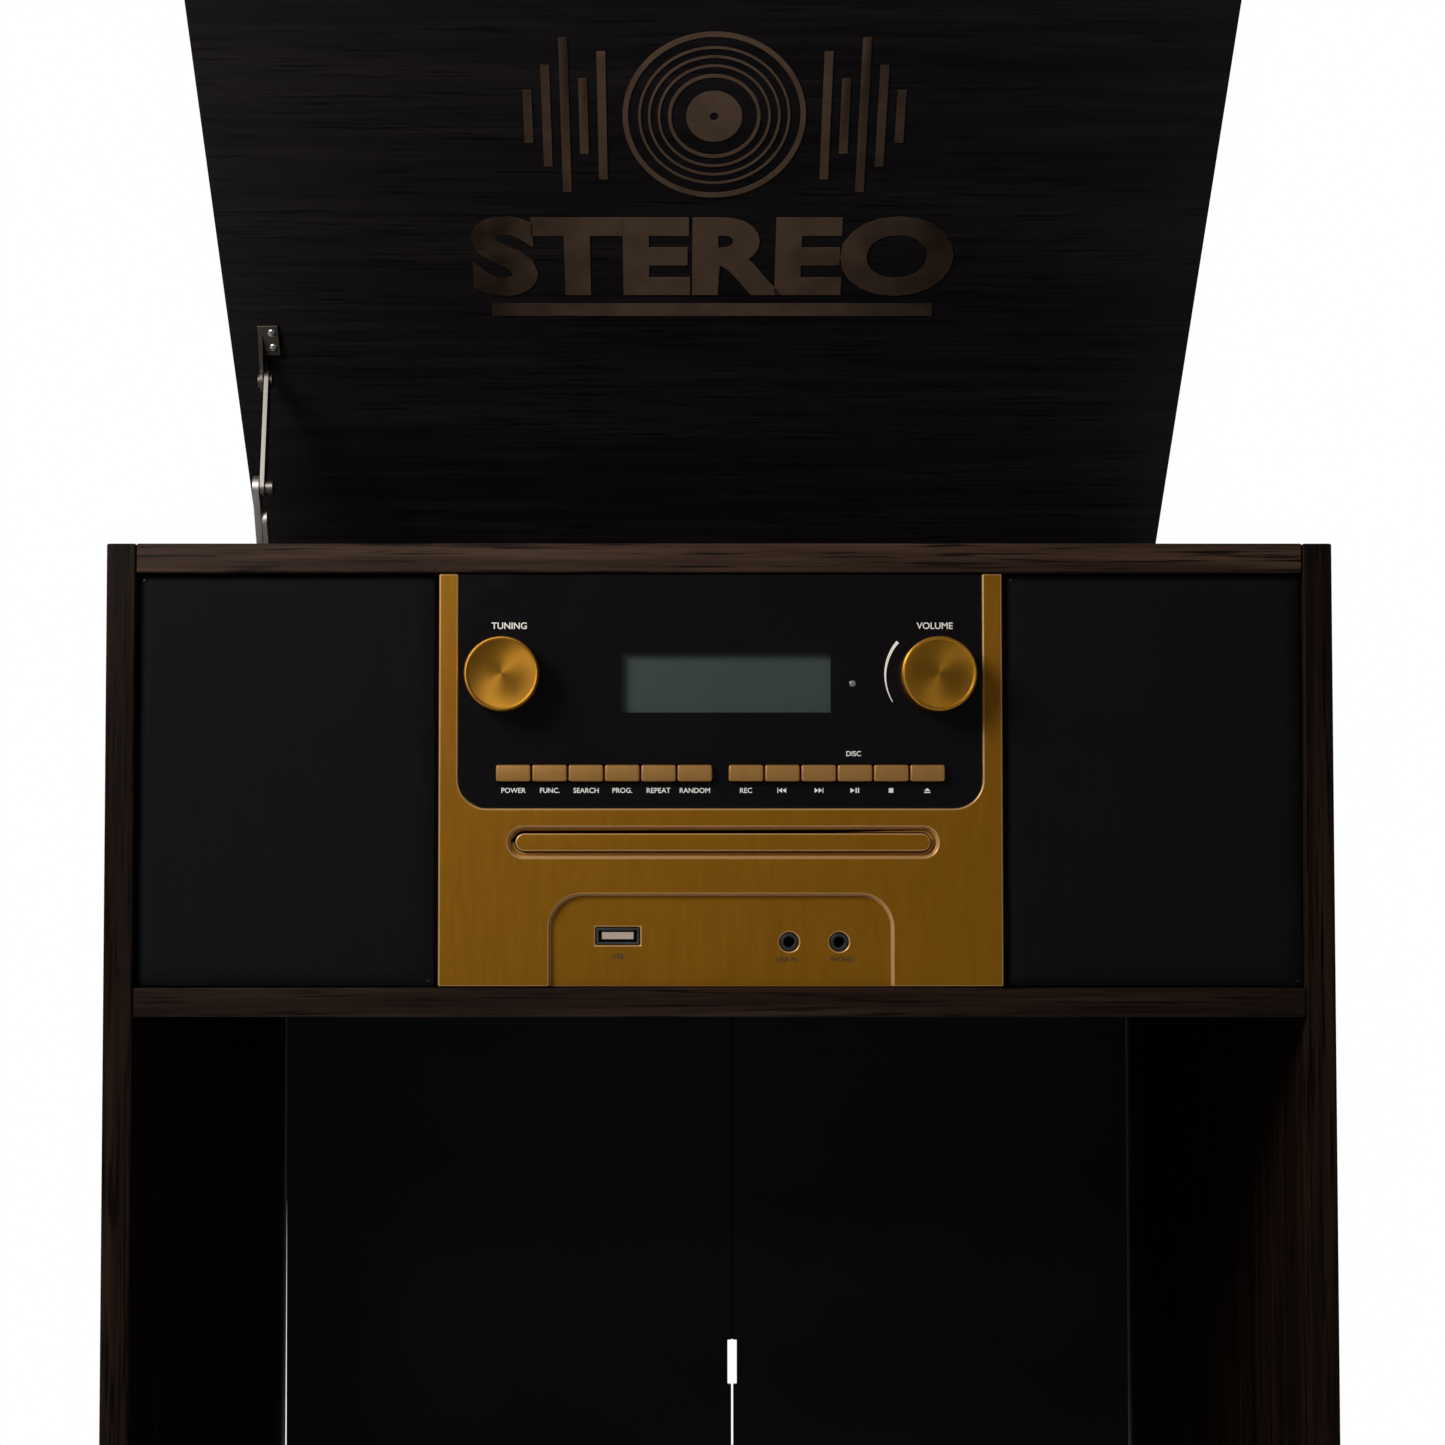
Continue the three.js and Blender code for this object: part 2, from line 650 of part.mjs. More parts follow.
function addPorts() {
  const left = usb.x - usb.width / 2 + gap;
  const right = usb.x + usb.width / 2 - gap;
  const bottom = usb.z - usb.height / 2 + gap;
  const top = usb.z + usb.height / 2 - gap;
  const shell = box(left, right, portFloor, portBack, bottom, top);
  const pocket = box(
    left + usb.wall,
    right - usb.wall,
    portFloor - 1,
    usb.pocketBack,
    bottom + usb.wall,
    top - usb.wall,
  );
  const tongue = box(
    left + usbTongue.side,
    right - usbTongue.side,
    portFloor + usbTongue.front,
    usb.pocketBack + 1,
    top - usbTongue.under,
    top - usbTongue.over,
  );
  place('usb_port', join(cut(shell, pocket), tongue), steelLook());

  const profile = [
    [0, portBack],
    [jacks.radius, portBack],
    [jacks.radius, portFloor],
    [jacks.bore, portFloor],
    [jacks.bore, jacks.boreBack],
    [0, jacks.boreBack],
  ];
  for (const [name, x] of [['jack_line_in', jacks.lineIn], ['jack_headphone', jacks.headphone]]) {
    const socket = turned([...profile].reverse(), 20, 'y').translate(x, 0, jacks.z);
    place(name, socket, blackMattLook());
  }
}

// The supply stands on the shelf. Its two-pin inlet reaches out through the rear cover.
function addPowerUnit() {
  const can = box(
    supply.left,
    supply.right,
    supply.front,
    backSheetFront - gap,
    shelfTop + gap,
    supply.top,
  );
  const halfWidth = inlet.width / 2;
  const halfHeight = inlet.height / 2;
  const collar = box(
    inlet.x - halfWidth,
    inlet.x + halfWidth,
    inlet.front,
    inlet.back,
    inlet.z - halfHeight,
    inlet.z + halfHeight,
  );
  const pocketFloor = inlet.back - inlet.depth;
  const socketPocket = box(
    inlet.x - halfWidth + inlet.rim,
    inlet.x + halfWidth - inlet.rim,
    pocketFloor,
    inlet.back + 1,
    inlet.z - halfHeight + inlet.rim,
    inlet.z + halfHeight - inlet.rim,
  );
  const pinStart = pocketFloor - 2;
  const pins = [-inletPin.apart, inletPin.apart].map((side) => {
    const at = { x: inlet.x + side, z: inlet.z };
    return rod('y', inletPin.radius, pinStart, pinStart + inletPin.length, at, 12);
  });
  place('power_unit', join(cut(join(can, collar), socketPocket), ...pins), blackMattLook());
}

// ---- Turntable ----------------------------------------------------------------------------

// The deck and the wall that closes the front of the well are one moulding, with the arm's rest.
function addDeck() {
  const plateFront = baffleBack + gap;
  const plate = box(-fitX, fitX, plateFront, backSheetFront - gap, deckUnder, deckTop);
  const wallBack = wellWallFront + wellWall;
  const wall = box(-fitX, fitX, wellWallFront, wallBack, deckTop - 1, wellWallTop);
  const restTop = armPivot.z - armTubeRadius - gap;
  const restFront = armRest.y - armRest.halfDepth;
  const restBack = armRest.y + armRest.halfDepth;
  const postLeft = armPivot.x - armRest.left;
  const post = box(postLeft, armPivot.x + armRest.right, restFront, restBack, deckTop - 1, restTop);
  const lipX = armPivot.x + armTubeRadius + armRest.lipGap;
  const lipTop = armPivot.z + armRest.lipTop;
  const lip = box(lipX, lipX + armRest.lip, restFront, restBack, restTop - 1, lipTop);
  const deck = cut(
    join(plate, wall, post, lip),
    rod('z', spindleHole, deckUnder - 1, deckTop + 1, spindle),
    rod('z', pulleyHole, deckUnder - 1, deckTop + 1, pulley, 24),
  );
  place('turntable_deck', deck, blackMattLook());
}

function addPlatter() {
  const ringInner = beltRimRadius - beltRing.width;
  const ringBottom = deckTop + beltRing.rise;
  const rimInner = platterRadius - platterRim.width;
  const profile = [
    [0, platterHub.shaftBottom],
    [spindle.radius, platterHub.shaftBottom],
    [spindle.radius, deckTop + platterHub.rise],
    [platterHub.radius, deckTop + platterHub.rise],
    [platterHub.radius, platterUnder],
    [ringInner, platterUnder],
    [ringInner, ringBottom],
    [beltRimRadius, ringBottom],
    [beltRimRadius, platterUnder],
    [rimInner, platterUnder],
    [rimInner, platterUnder - platterRim.drop],
    [platterRadius, platterUnder - platterRim.drop],
    [platterRadius, platterTop - platterRim.edge],
    [platterRadius - platterRim.edge, platterTop],
    [spindle.radius, platterTop],
    [spindle.radius, spindle.top - spindleTip.height],
    [spindleTip.radius, spindle.top],
    [0, spindle.top],
  ];
  place('platter', turned(profile, 48).translate(spindle.x, spindle.y, 0), look(0x9a9a98, 0.35, 0.9));
}

function addMotor() {
  const can = [
    [0, motorCan.bottom],
    [motorCan.radius, motorCan.bottom],
    [motorCan.radius, motorCan.top],
    [motorCan.flange, motorCan.top],
    [motorCan.flange, deckUnder - gap],
    [motorCan.bore, deckUnder - gap],
    [motorCan.bore, motorCan.step],
    [motorShaft.bore, motorCan.step],
    [motorShaft.bore, motorShaft.floor],
    [0, motorShaft.floor],
  ];
  place('motor', turned(can, 24).translate(pulley.x, pulley.y, 0), steelLook());

  const lipRadius = pulleyRadius + pulleyLip;
  const wheel = [
    [0, motorShaft.bottom],
    [motorShaft.radius, motorShaft.bottom],
    [motorShaft.radius, pulleyWheel.bottom],
    [lipRadius, pulleyWheel.bottom],
    [lipRadius, pulleyWheel.lipTop],
    [pulleyRadius, pulleyWheel.groove],
    [pulleyRadius, pulleyWheel.grooveTop],
    [lipRadius, pulleyWheel.lip],
    [lipRadius, pulleyWheel.top],
    [0, pulleyWheel.top],
  ];
  const geometry = turned(wheel, 24).translate(pulley.x, pulley.y, 0);
  place('motor_pulley', geometry, look(0xb08d57, 0.35, 0.9));
}

function addBelt() {
  const inner = gap;
  const outer = gap + beltBand.thickness;
  const shape = beltOutline(beltRimRadius + outer, pulleyRadius + outer, pulleyDistance);
  const hole = beltOutline(beltRimRadius + inner, pulleyRadius + inner, pulleyDistance, THREE.Path);
  shape.holes.push(hole);
  const geometry = floorPlate(shape, beltBand.bottom, beltBand.top, 16).rotateZ(pulleyAngle);
  place('drive_belt', geometry.translate(spindle.x, spindle.y, 0), rubberLook());
}

function addTonearmBase() {
  const profile = [
    [0, deckTop + gap],
    [armFoot.radius, deckTop + gap],
    [armFoot.radius, armFoot.height],
    [armFoot.shoulder, armFoot.top],
    [armFoot.post, armFoot.top],
    [armFoot.post, armFoot.postTop],
    [0, armFoot.postTop],
  ];
  const pedestal = turned(profile, 28).translate(armPivot.x, armPivot.y, 0);
  const lug = box(
    cuePivot.x - cueLug.width,
    cuePivot.x,
    cuePivot.y - cueLug.halfDepth,
    cuePivot.y + cueLug.halfDepth,
    cueLug.bottom,
    cueLug.top,
  );
  place('tonearm_base', join(pedestal, lug), blackMattLook());
}

function addYoke() {
  const { x, y, z } = armPivot;
  const yFront = y - yokeBar.halfDepth;
  const yBack = y + yokeBar.halfDepth;
  const disc = rod('z', yokeDisc.radius, yokeDisc.bottom, yokeDisc.top, armPivot, 28);
  const bar = box(x - yokeBar.half, x + yokeBar.half, yFront, yBack, yokeBar.bottom, yokeBar.top);
  const ears = [-1, 1].map((side) => {
    const earX = x + side * yokeEar.apart;
    const top = z + yokeEar.above;
    return box(earX - yokeEar.half, earX + yokeEar.half, yFront, yBack, yokeDisc.top, top);
  });
  const reach = yokeBar.half + 3;
  const bearing = rod('x', yokeEar.bearing, x - reach, x + reach, armPivot, 16);
  place('tonearm_yoke', cut(join(disc, bar, ...ears), bearing), steelLook());
}

// The tube, its gimbal block with two side pins, the weight's stub, and the turned head.
function addTonearm() {
  const { x, y, z } = armPivot;
  const needle = new THREE.CylinderGeometry(stylus.base, stylus.tip, stylus.length, 8);
  needle.rotateX(Math.PI / 2).translate(0, stylus.y, stylus.z);
  const head = join(
    box(-shell.half, shell.half, shell.front, shell.back, shell.bottom, shell.top),
    box(
      -cartridge.half,
      cartridge.half,
      cartridge.front,
      cartridge.back,
      cartridge.bottom,
      cartridge.top,
    ),
    needle,
    rod('y', shellSocket.radius, shellSocket.front, shellSocket.back, { x: 0, z: 0 }),
  );
  head.rotateZ(headTurn).translate(x, headY, z);
  const arm = join(
    rod('y', armTubeRadius, headY, y, armPivot),
    box(
      x - gimbal.half,
      x + gimbal.half,
      y - gimbal.halfDepth,
      y + gimbal.halfDepth,
      z - gimbal.half,
      z + gimbal.half,
    ),
    rod('x', gimbal.pinRadius, x - gimbal.pinReach, x + gimbal.pinReach, armPivot, 12),
    rod('y', armTubeRadius, y, y + armStub, armPivot),
    head,
  );
  place('tonearm', arm, steelLook());
  const bore = armTubeRadius + gap;
  const outline = [
    [bore, y + weight.front],
    [weight.radius, y + weight.front],
    [weight.radius, y + weight.shoulder],
    [weight.radius - weight.edge, y + weight.back],
    [bore, y + weight.back],
    [bore, y + weight.front],
  ];
  const ring = turned(outline, 28, 'y').translate(x, 0, z);
  place('counterweight', ring, look(0x3a3a3c, 0.35, 0.8));
}

function addDeckControls() {
  const { x, y, z } = cuePivot;
  const end = { y: y - cueLever.reach, z };
  const right = x + cueLever.barrelEnd;
  const { half } = cueLever;
  const barrel = rod('x', cueLever.barrel, x + gap, right, cuePivot, 16);
  const lever = box(x + cueLever.left, x + cueLever.right, end.y, y, z - half, z + half);
  const grip = rod('x', cueGrip.radius, x + cueGrip.left, right, end, 16);
  place('cue_lever', join(barrel, lever, grip), steelLook());

  const base = rod('z', selector.radius, deckTop + gap, selector.top, selector, 28);
  const bar = box(
    selector.x - selectorBar.half,
    selector.x + selectorBar.half,
    selector.y - selectorBar.halfLength,
    selector.y + selectorBar.halfLength,
    selectorBar.bottom,
    selectorBar.top,
  );
  place('speed_selector', join(base, bar), blackMattLook());
}

// ---- Lid ----------------------------------------------------------------------------------

function hingeLeaf(centreX, up) {
  const half = hingeWidth / 2;
  const near = back + gap;
  const far = near + leafThickness;
  const third = hingeWidth / 6;
  const clear = knuckleRadius + knuckleClear;
  const at = { y: hingePin.y, z: hingePin.z };
  if (up) {
    const plate = box(centreX - half, centreX + half, near, far, at.z + clear, at.z + lidThickness);
    const neck = box(centreX - third, centreX + third, near, far, at.z, at.z + clear + 1);
    const knuckle = rod('x', knuckleRadius, centreX - third, centreX + third, at);
    const bore = rod('x', hingePin.radius + gap, centreX - half, centreX + half, at, 16);
    return cut(join(plate, neck, knuckle), bore);
  }
  const foot = at.z - caseLeafHeight;
  const plate = box(centreX - half, centreX + half, near, far, foot, at.z - clear);
  const ends = [-1, 1].flatMap((side) => {
    const inner = centreX + side * (third + gap);
    const outer = centreX + side * half;
    const [x0, x1] = side < 0 ? [outer, inner] : [inner, outer];
    const neck = box(x0, x1, near, far, at.z - clear - 1, at.z);
    return [neck, rod('x', knuckleRadius, x0, x1, at)];
  });
  const pin = rod('x', hingePin.radius, centreX - half + 1, centreX + half - 1, at, 16);
  return join(plate, ...ends, pin);
}

// A small angle bracket. Its foot lies under the lid, further out than the ear's pin.
function stayBracket() {
  const at = { y: hingePin.y - stayLid.along, z: hingePin.z - stayLid.below };
  const { x } = bracketEar;
  const { width, near, far, thickness } = bracketFoot;
  const earRight = x + bracketEar.thickness;
  const shape = new THREE.Shape();
  shape.absarc(at.y, at.z, bracketEar.radius, Math.PI, Math.PI * 2.3, false);
  shape.lineTo(at.y - near, caseTop);
  shape.lineTo(at.y - far, caseTop);
  shape.closePath();
  const ear = sidePlate(shape, x, earRight);
  const plate = box(x, x + width, at.y - far, at.y - near, caseTop - thickness, caseTop);
  const headStart = stayUpper.x + stayUpper.thickness + gap;
  const pin = rod('x', stayPin.radius, earRight - 1, headStart + 1, at, 16);
  const rightHead = rod('x', stayPin.headRadius, headStart, headStart + stayPin.head, at, 16);
  const leftHead = rod('x', stayPin.headRadius, x - stayPin.head, x + 1, at, 16);
  return join(ear, plate, pin, rightHead, leftHead);
}

function addLid() {
  const lid = new THREE.Group();
  lid.position.set(0, hingePin.y, hingePin.z);
  lid.rotation.x = -lidOpenAngle;
  const offset = [0, -hingePin.y, -hingePin.z];
  const half = caseWidth / 2;
  const under = caseTop + gap;
  const panel = box(-half, half, front, back, under, under + lidThickness);
  place('lid_panel', panel.translate(...offset), woodLook(), lid);
  for (const [side, x] of [['left', -hingeX], ['right', hingeX]]) {
    place(`hinge_leaf_lid_${side}`, hingeLeaf(x, true).translate(...offset), steelLook(), lid);
    place(`hinge_leaf_case_${side}`, hingeLeaf(x, false), steelLook());
  }
  place('stay_lid_bracket', stayBracket().translate(...offset), steelLook(), lid);
  cabinet.add(lid);
}

// The stay's two arms, drawn where they stand with the lid open.
function addStay() {
  const fromPin = (forward, up) => ({ y: hingePin.y - forward, z: hingePin.z + up });
  const wall = fromPin(stayWall.forward, stayWall.up);
  const elbow = fromPin(stayElbow.forward, stayElbow.up);
  const cos = Math.cos(lidOpenAngle);
  const sin = Math.sin(lidOpenAngle);
  const lidEnd = fromPin(
    stayLid.along * cos + stayLid.below * sin,
    stayLid.along * sin - stayLid.below * cos,
  );
  const upperRight = stayUpper.x + stayUpper.thickness;
  const upperOutline = linkOutline(elbow, lidEnd, stayUpper.radius, stayUpper.radius);
  const upperBar = sidePlate(upperOutline, stayUpper.x, upperRight);
  const rivet = rod('x', stayRivet.radius, upperRight - 1, upperRight + stayRivet.rise, elbow, 16);
  const lidHole = rod('x', stayUpper.hole, stayUpper.x - 1, upperRight + 1, lidEnd, 16);
  place('stay_upper_arm', cut(join(upperBar, rivet), lidHole), steelLook());

  // The lower arm is thick up to where the folded upper arm would meet it, and a thin cheek beyond.
  const lowerLength = Math.hypot(elbow.y - wall.y, elbow.z - wall.z);
  const shortOf = 1 - stayLower.fullShort / lowerLength;
  const fullEnd = {
    y: wall.y + (elbow.y - wall.y) * shortOf,
    z: wall.z + (elbow.z - wall.z) * shortOf,
  };
  const cheekOutline = linkOutline(wall, elbow, stayLower.radius, stayLower.radius);
  const cheek = sidePlate(cheekOutline, stayLower.x, stayLower.x + stayLower.cheek);
  const fullOutline = linkOutline(wall, fullEnd, stayLower.fullRadius, stayLower.fullRadius);
  const lowerRight = stayLower.x + stayLower.full;
  const fullBar = sidePlate(fullOutline, stayLower.x + 1, lowerRight);
  const boss = rod('x', stayWall.radius, -insideX + gap, stayLower.x + 1, wall);
  const headEnd = lowerRight + stayWall.headRise;
  const wallHead = rod('x', stayWall.headRadius, lowerRight - 1, headEnd, wall, 16);
  place('stay_lower_arm', join(cheek, fullBar, boss, wallHead), steelLook());
}

addCase();
addBackSheets();
addRearCover();
addLegs();
addBaffle();
addGrille('grille_left', -grilleOuterX, grilleLeftInnerX);
addGrille('grille_right', grilleRightInnerX, grilleOuterX);
addSpeaker('speaker_left', -speaker.x);
addSpeaker('speaker_right', speaker.x);
addFascia();
addWindow();
addButtons();
addKnob('knob_tuning', knobs.tuning);
addKnob('knob_volume', knobs.volume);
addDiscPlayer();
addPorts();
addPowerUnit();
addDeck();
addPlatter();
addMotor();
addBelt();
addTonearmBase();
addYoke();
addTonearm();
addDeckControls();
addLid();
addStay();

export default cabinet;
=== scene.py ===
# Radio phonograph console: the fine surface of every piece, its finishes, lights and camera.
import math

import bpy
from mathutils import Matrix, Vector


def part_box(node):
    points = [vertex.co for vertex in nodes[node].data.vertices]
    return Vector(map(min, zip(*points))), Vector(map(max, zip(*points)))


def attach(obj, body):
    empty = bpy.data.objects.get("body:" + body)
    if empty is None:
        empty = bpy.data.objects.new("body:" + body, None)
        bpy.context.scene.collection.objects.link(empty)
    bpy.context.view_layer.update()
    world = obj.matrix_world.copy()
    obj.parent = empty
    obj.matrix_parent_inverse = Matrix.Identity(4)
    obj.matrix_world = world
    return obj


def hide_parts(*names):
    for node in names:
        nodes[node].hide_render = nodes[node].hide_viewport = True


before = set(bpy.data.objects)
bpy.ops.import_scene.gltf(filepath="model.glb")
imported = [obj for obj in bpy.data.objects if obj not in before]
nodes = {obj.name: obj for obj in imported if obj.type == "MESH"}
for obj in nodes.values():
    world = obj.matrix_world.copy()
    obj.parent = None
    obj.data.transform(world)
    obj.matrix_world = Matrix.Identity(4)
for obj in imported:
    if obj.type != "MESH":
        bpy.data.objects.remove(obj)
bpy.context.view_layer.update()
turn = math.tau


# Camera, lights and floor

cameraSet = {"place": (-0.0154, -1.0686, 0.5681), "tiltUp": 2.31, "lens": 64.85, "shift": (0.0334, 0.0294)}
lightSet = {
    "key": {"place": (-0.62, -0.72, 1.08), "aim": (0, -0.15, 0.62), "size": 0.4, "power": 11},
    "fill": {"place": (1.3, -1.6, 0.9), "aim": (0, 0, 0.55), "size": 1.2, "power": 2},
    "rear": {"place": (0.4, 1.6, 1.6), "aim": (0, 0, 0.5), "size": 1.2, "power": 18},
    "glow": {"place": (-0.36, -1.5, 1.0), "aim": (0, -0.18, 0.62), "size": 0.15, "power": 0.85},
}
surroundSet = {"backdrop": 1.0, "ambient": 0.07, "floorHalf": 1.5, "floorColor": (0.82, 0.81, 0.79)}


def placeCamera():
    camera = bpy.data.objects.new("camera", bpy.data.cameras.new("camera"))
    bpy.context.scene.collection.objects.link(camera)
    camera.location = cameraSet["place"]
    camera.rotation_euler = (math.radians(90 + cameraSet["tiltUp"]), 0, 0)
    camera.data.lens = cameraSet["lens"]
    camera.data.sensor_width = 36
    camera.data.shift_x, camera.data.shift_y = cameraSet["shift"]
    camera.data.clip_start = 0.01
    bpy.context.scene.camera = camera


def placeLights():
    for name, light in lightSet.items():
        lamp = bpy.data.lights.new(name, "AREA")
        lamp.shape = "SQUARE"
        lamp.size = light["size"]
        lamp.energy = light["power"]
        lampObject = bpy.data.objects.new(name, lamp)
        bpy.context.scene.collection.objects.link(lampObject)
        lampObject.location = light["place"]
        aim = Vector(light["aim"]) - Vector(light["place"])
        lampObject.rotation_euler = aim.to_track_quat("-Z", "Y").to_euler()


# A white surround behind the object, dimmer in what it lights, so the dark finishes stay dark
def placeSurround():
    world = bpy.data.worlds.new("studio")
    bpy.context.scene.world = world
    world.use_nodes = True
    tree = world.node_tree
    tree.nodes.clear()
    output = tree.nodes.new("ShaderNodeOutputWorld")
    mix = tree.nodes.new("ShaderNodeMixShader")
    path = tree.nodes.new("ShaderNodeLightPath")
    tree.links.new(path.outputs["Is Camera Ray"], mix.inputs["Fac"])
    for slot, strength in ((1, surroundSet["ambient"]), (2, surroundSet["backdrop"])):
        background = tree.nodes.new("ShaderNodeBackground")
        background.inputs["Color"].default_value = (1, 1, 1, 1)
        background.inputs["Strength"].default_value = strength
        tree.links.new(background.outputs[0], mix.inputs[slot])
    tree.links.new(mix.outputs[0], output.inputs["Surface"])
    bpy.context.scene.view_settings.view_transform = "Standard"


placeCamera()
placeLights()
placeSurround()
print("camera, lights and surround are set")


# Finishes

class Finish:
    def __init__(self, name, color, roughness=0.5, metallic=0.0, **sockets):
        self.material = bpy.data.materials.new(name)
        self.material.use_nodes = True
        self.tree = self.material.node_tree
        self.shader = self.tree.nodes["Principled BSDF"]
        self.shader.inputs["Base Color"].default_value = (*color, 1)
        self.shader.inputs["Roughness"].default_value = roughness
        self.shader.inputs["Metallic"].default_value = metallic
        for key, value in sockets.items():
            self.shader.inputs[key.replace("_", " ")].default_value = value
        self.places = self.tree.nodes.new("ShaderNodeTexCoord").outputs["Object"]

    def node(self, kind, inputs=None, **settings):
        made = self.tree.nodes.new("ShaderNode" + kind)
        for key, value in settings.items():
            setattr(made, key, value)
        for key, value in (inputs or {}).items():
            if isinstance(value, bpy.types.NodeSocket):
                self.tree.links.new(value, made.inputs[key])
            else:
                made.inputs[key].default_value = value
        return made

    def mapped(self, scale, location=(0, 0, 0), source=None):
        inputs = {"Vector": source or self.places, "Scale": scale, "Location": location}
        return self.node("Mapping", inputs).outputs["Vector"]

    def noise(self, scale, detail=3.0, mapScale=(1, 1, 1), location=(0, 0, 0), rough=0.55):
        vector = self.mapped(mapScale, location)
        inputs = {"Vector": vector, "Scale": scale, "Detail": detail, "Roughness": rough}
        return self.node("TexNoise", inputs).outputs["Fac"]

    def ramp(self, factor, stops):
        made = self.node("ValToRGB", {"Fac": factor})
        elements = made.color_ramp.elements
        while len(elements) < len(stops):
            elements.new(0.5)
        for element, (position, color) in zip(elements, stops):
            element.position = position
            element.color = (*color, 1)
        return made.outputs["Color"]

    def math(self, operation, first, second=0.0):
        return self.node("Math", {0: first, 1: second}, operation=operation).outputs[0]

    def range(self, value, low, high, toLow=0.0, toHigh=1.0):
        inputs = {"Value": value, "From Min": low, "From Max": high, "To Min": toLow, "To Max": toHigh}
        return self.node("MapRange", inputs).outputs["Result"]

    def blend(self, factor, first, second, mode="MIX"):
        made = self.node("Mix", data_type="RGBA", blend_type=mode)
        for slot, value in ((0, factor), (6, first), (7, second)):
            if isinstance(value, bpy.types.NodeSocket):
                self.tree.links.new(value, made.inputs[slot])
            else:
                made.inputs[slot].default_value = value if slot == 0 else (*value, 1)
        return made.outputs[2]

    def color(self, source):
        self.tree.links.new(source, self.shader.inputs["Base Color"])

    def roughness(self, source, low, high):
        spread = self.range(source, 0.25, 0.75, low, high)
        self.tree.links.new(spread, self.shader.inputs["Roughness"])

    def bump(self, source, distance, strength=1.0):
        inputs = {"Height": source, "Distance": distance, "Strength": strength}
        made = self.node("Bump", inputs)
        previous = self.shader.inputs["Normal"]
        if previous.is_linked:
            self.tree.links.new(previous.links[0].from_socket, made.inputs["Normal"])
        self.tree.links.new(made.outputs["Normal"], previous)


# Wood veneer: pores and fine streaks along the grain over a slow figure, each board cut elsewhere
veneerSet = {
    "dark": (0.0055, 0.0028, 0.0018),
    "middle": (0.017, 0.0088, 0.0054),
    "light": (0.044, 0.0235, 0.0145),
    "figure": 9.0,
    "streak": 170.0,
    "pore": 900.0,
}


# The lid's underside: its veneer painted nearly black as painted shade on a face turned down, with a calmer
# figure
lidShadedVeneerSet = {
    "dark": (0.005, 0.0042, 0.0047),
    "middle": (0.0082, 0.0066, 0.0071),
    "light": (0.013, 0.0098, 0.0098),
}


def scaled(color, tone):
    return tuple(channel * tone for channel in color)


def veneer(name, along, tone=1.0, seed=0.0, colors=veneerSet, gloss=0.09):
    finish = Finish(name, colors["middle"], 0.42, Specular_IOR_Level=gloss)

    def stretched(across, length):
        return tuple(length if axis == along else across for axis in "xyz")

    place = (seed * 0.37, seed * 0.71, seed * 0.53)
    figure = finish.noise(1.0, 3, stretched(veneerSet["figure"] * 3, 2.2), place)
    streak = finish.noise(1.0, 4, stretched(veneerSet["streak"], 5.0), place, 0.65)
    pore = finish.noise(1.0, 2, stretched(veneerSet["pore"], 26.0), place, 0.6)
    mixed = finish.math("ADD", finish.math("MULTIPLY", figure, 0.42), finish.math("MULTIPLY", streak, 0.58))
    grain = finish.ramp(
        mixed,
        [
            (0.36, scaled(colors["dark"], tone)),
            (0.5, scaled(colors["middle"], tone)),
            (0.66, scaled(colors["light"], tone)),
        ],
    )
    poreMask = finish.range(pore, 0.36, 0.46)
    finish.color(finish.blend(poreMask, scaled(colors["dark"], tone * 0.8), grain))
    finish.roughness(streak, 0.36, 0.52)
    finish.bump(pore, 0.00008, 0.5)
    finish.bump(streak, 0.00006, 0.35)
    return finish.material


# One veneer on every board: the top rail's high tone is painted light, the sides' and shelves' low tones
# painted shade
finishes = {
    "side": veneer("veneerSide", "z", 0.46, 1, gloss=0.05),
    "topRail": veneer("veneerTopRail", "x", 1.55, 2),
    "shelf": veneer("veneerShelf", "x", 0.75, 3),
    "lid": veneer("veneerLid", "x", 1.0, 5, lidShadedVeneerSet),
    "leg": veneer("legWood", "z", 0.7, 6),
}


# A moulded, painted or pressed surface: a fine grain in the bump, slow drift in tone and gloss
def textured(name, color, rough, metallic=0.0, grain=900.0, depth=0.00003, drift=0.2, **sockets):
    finish = Finish(name, color, sum(rough) / 2, metallic, **sockets)
    cloud = finish.noise(38.0, 4)
    fine = finish.noise(grain, 2)
    finish.color(finish.blend(cloud, scaled(color, 1 - drift), scaled(color, 1 + drift)))
    finish.roughness(cloud, *rough)
    finish.bump(fine, depth, 0.6)
    return finish.material


# Metal drawn or rolled along one axis: long fine scratches in gloss and bump
def brushed(name, color, rough, along, fine=1600.0, depth=0.00001, drift=0.12, **sockets):
    finish = Finish(name, color, sum(rough) / 2, 1.0, **sockets)
    scale = tuple(9.0 if axis == along else fine for axis in "xyz")
    scratch = finish.noise(1.0, 3, scale)
    finish.color(finish.blend(scratch, scaled(color, 1 - drift), scaled(color, 1 + drift)))
    finish.roughness(scratch, *rough)
    finish.bump(scratch, depth, 0.5)
    return finish.material


clothSet = {"pitch": 0.0009, "thread": (0.0042, 0.0041, 0.0051), "hollow": (0.0013, 0.0012, 0.0015)}


# Speaker cloth: threads over and under each other in x and z
def grilleCloth():
    finish = Finish("grilleCloth", clothSet["thread"], 0.85, Specular_IOR_Level=0.09)
    split = finish.node("SeparateXYZ", {0: finish.places})
    waves = []
    for axis in ("X", "Z"):
        phase = finish.math("MULTIPLY", split.outputs[axis], turn / clothSet["pitch"])
        waves.append(finish.math("SINE", phase))
    weave = finish.math("ABSOLUTE", finish.math("MULTIPLY", waves[0], waves[1]))
    uneven = finish.noise(60.0, 4, (1, 1, 1))
    slub = finish.noise(1.0, 3, (900, 900, 60))
    shade = finish.math("MULTIPLY", finish.math("ADD", finish.math("MULTIPLY", weave, 0.6), slub), 0.9)
    weaveColor = finish.blend(shade, clothSet["hollow"], clothSet["thread"])
    patches = finish.range(uneven, 0.3, 0.7)
    finish.color(finish.blend(patches, scaled(clothSet["hollow"], 2.2), weaveColor))
    finish.bump(weave, 0.00012, 0.5)
    return finish.material


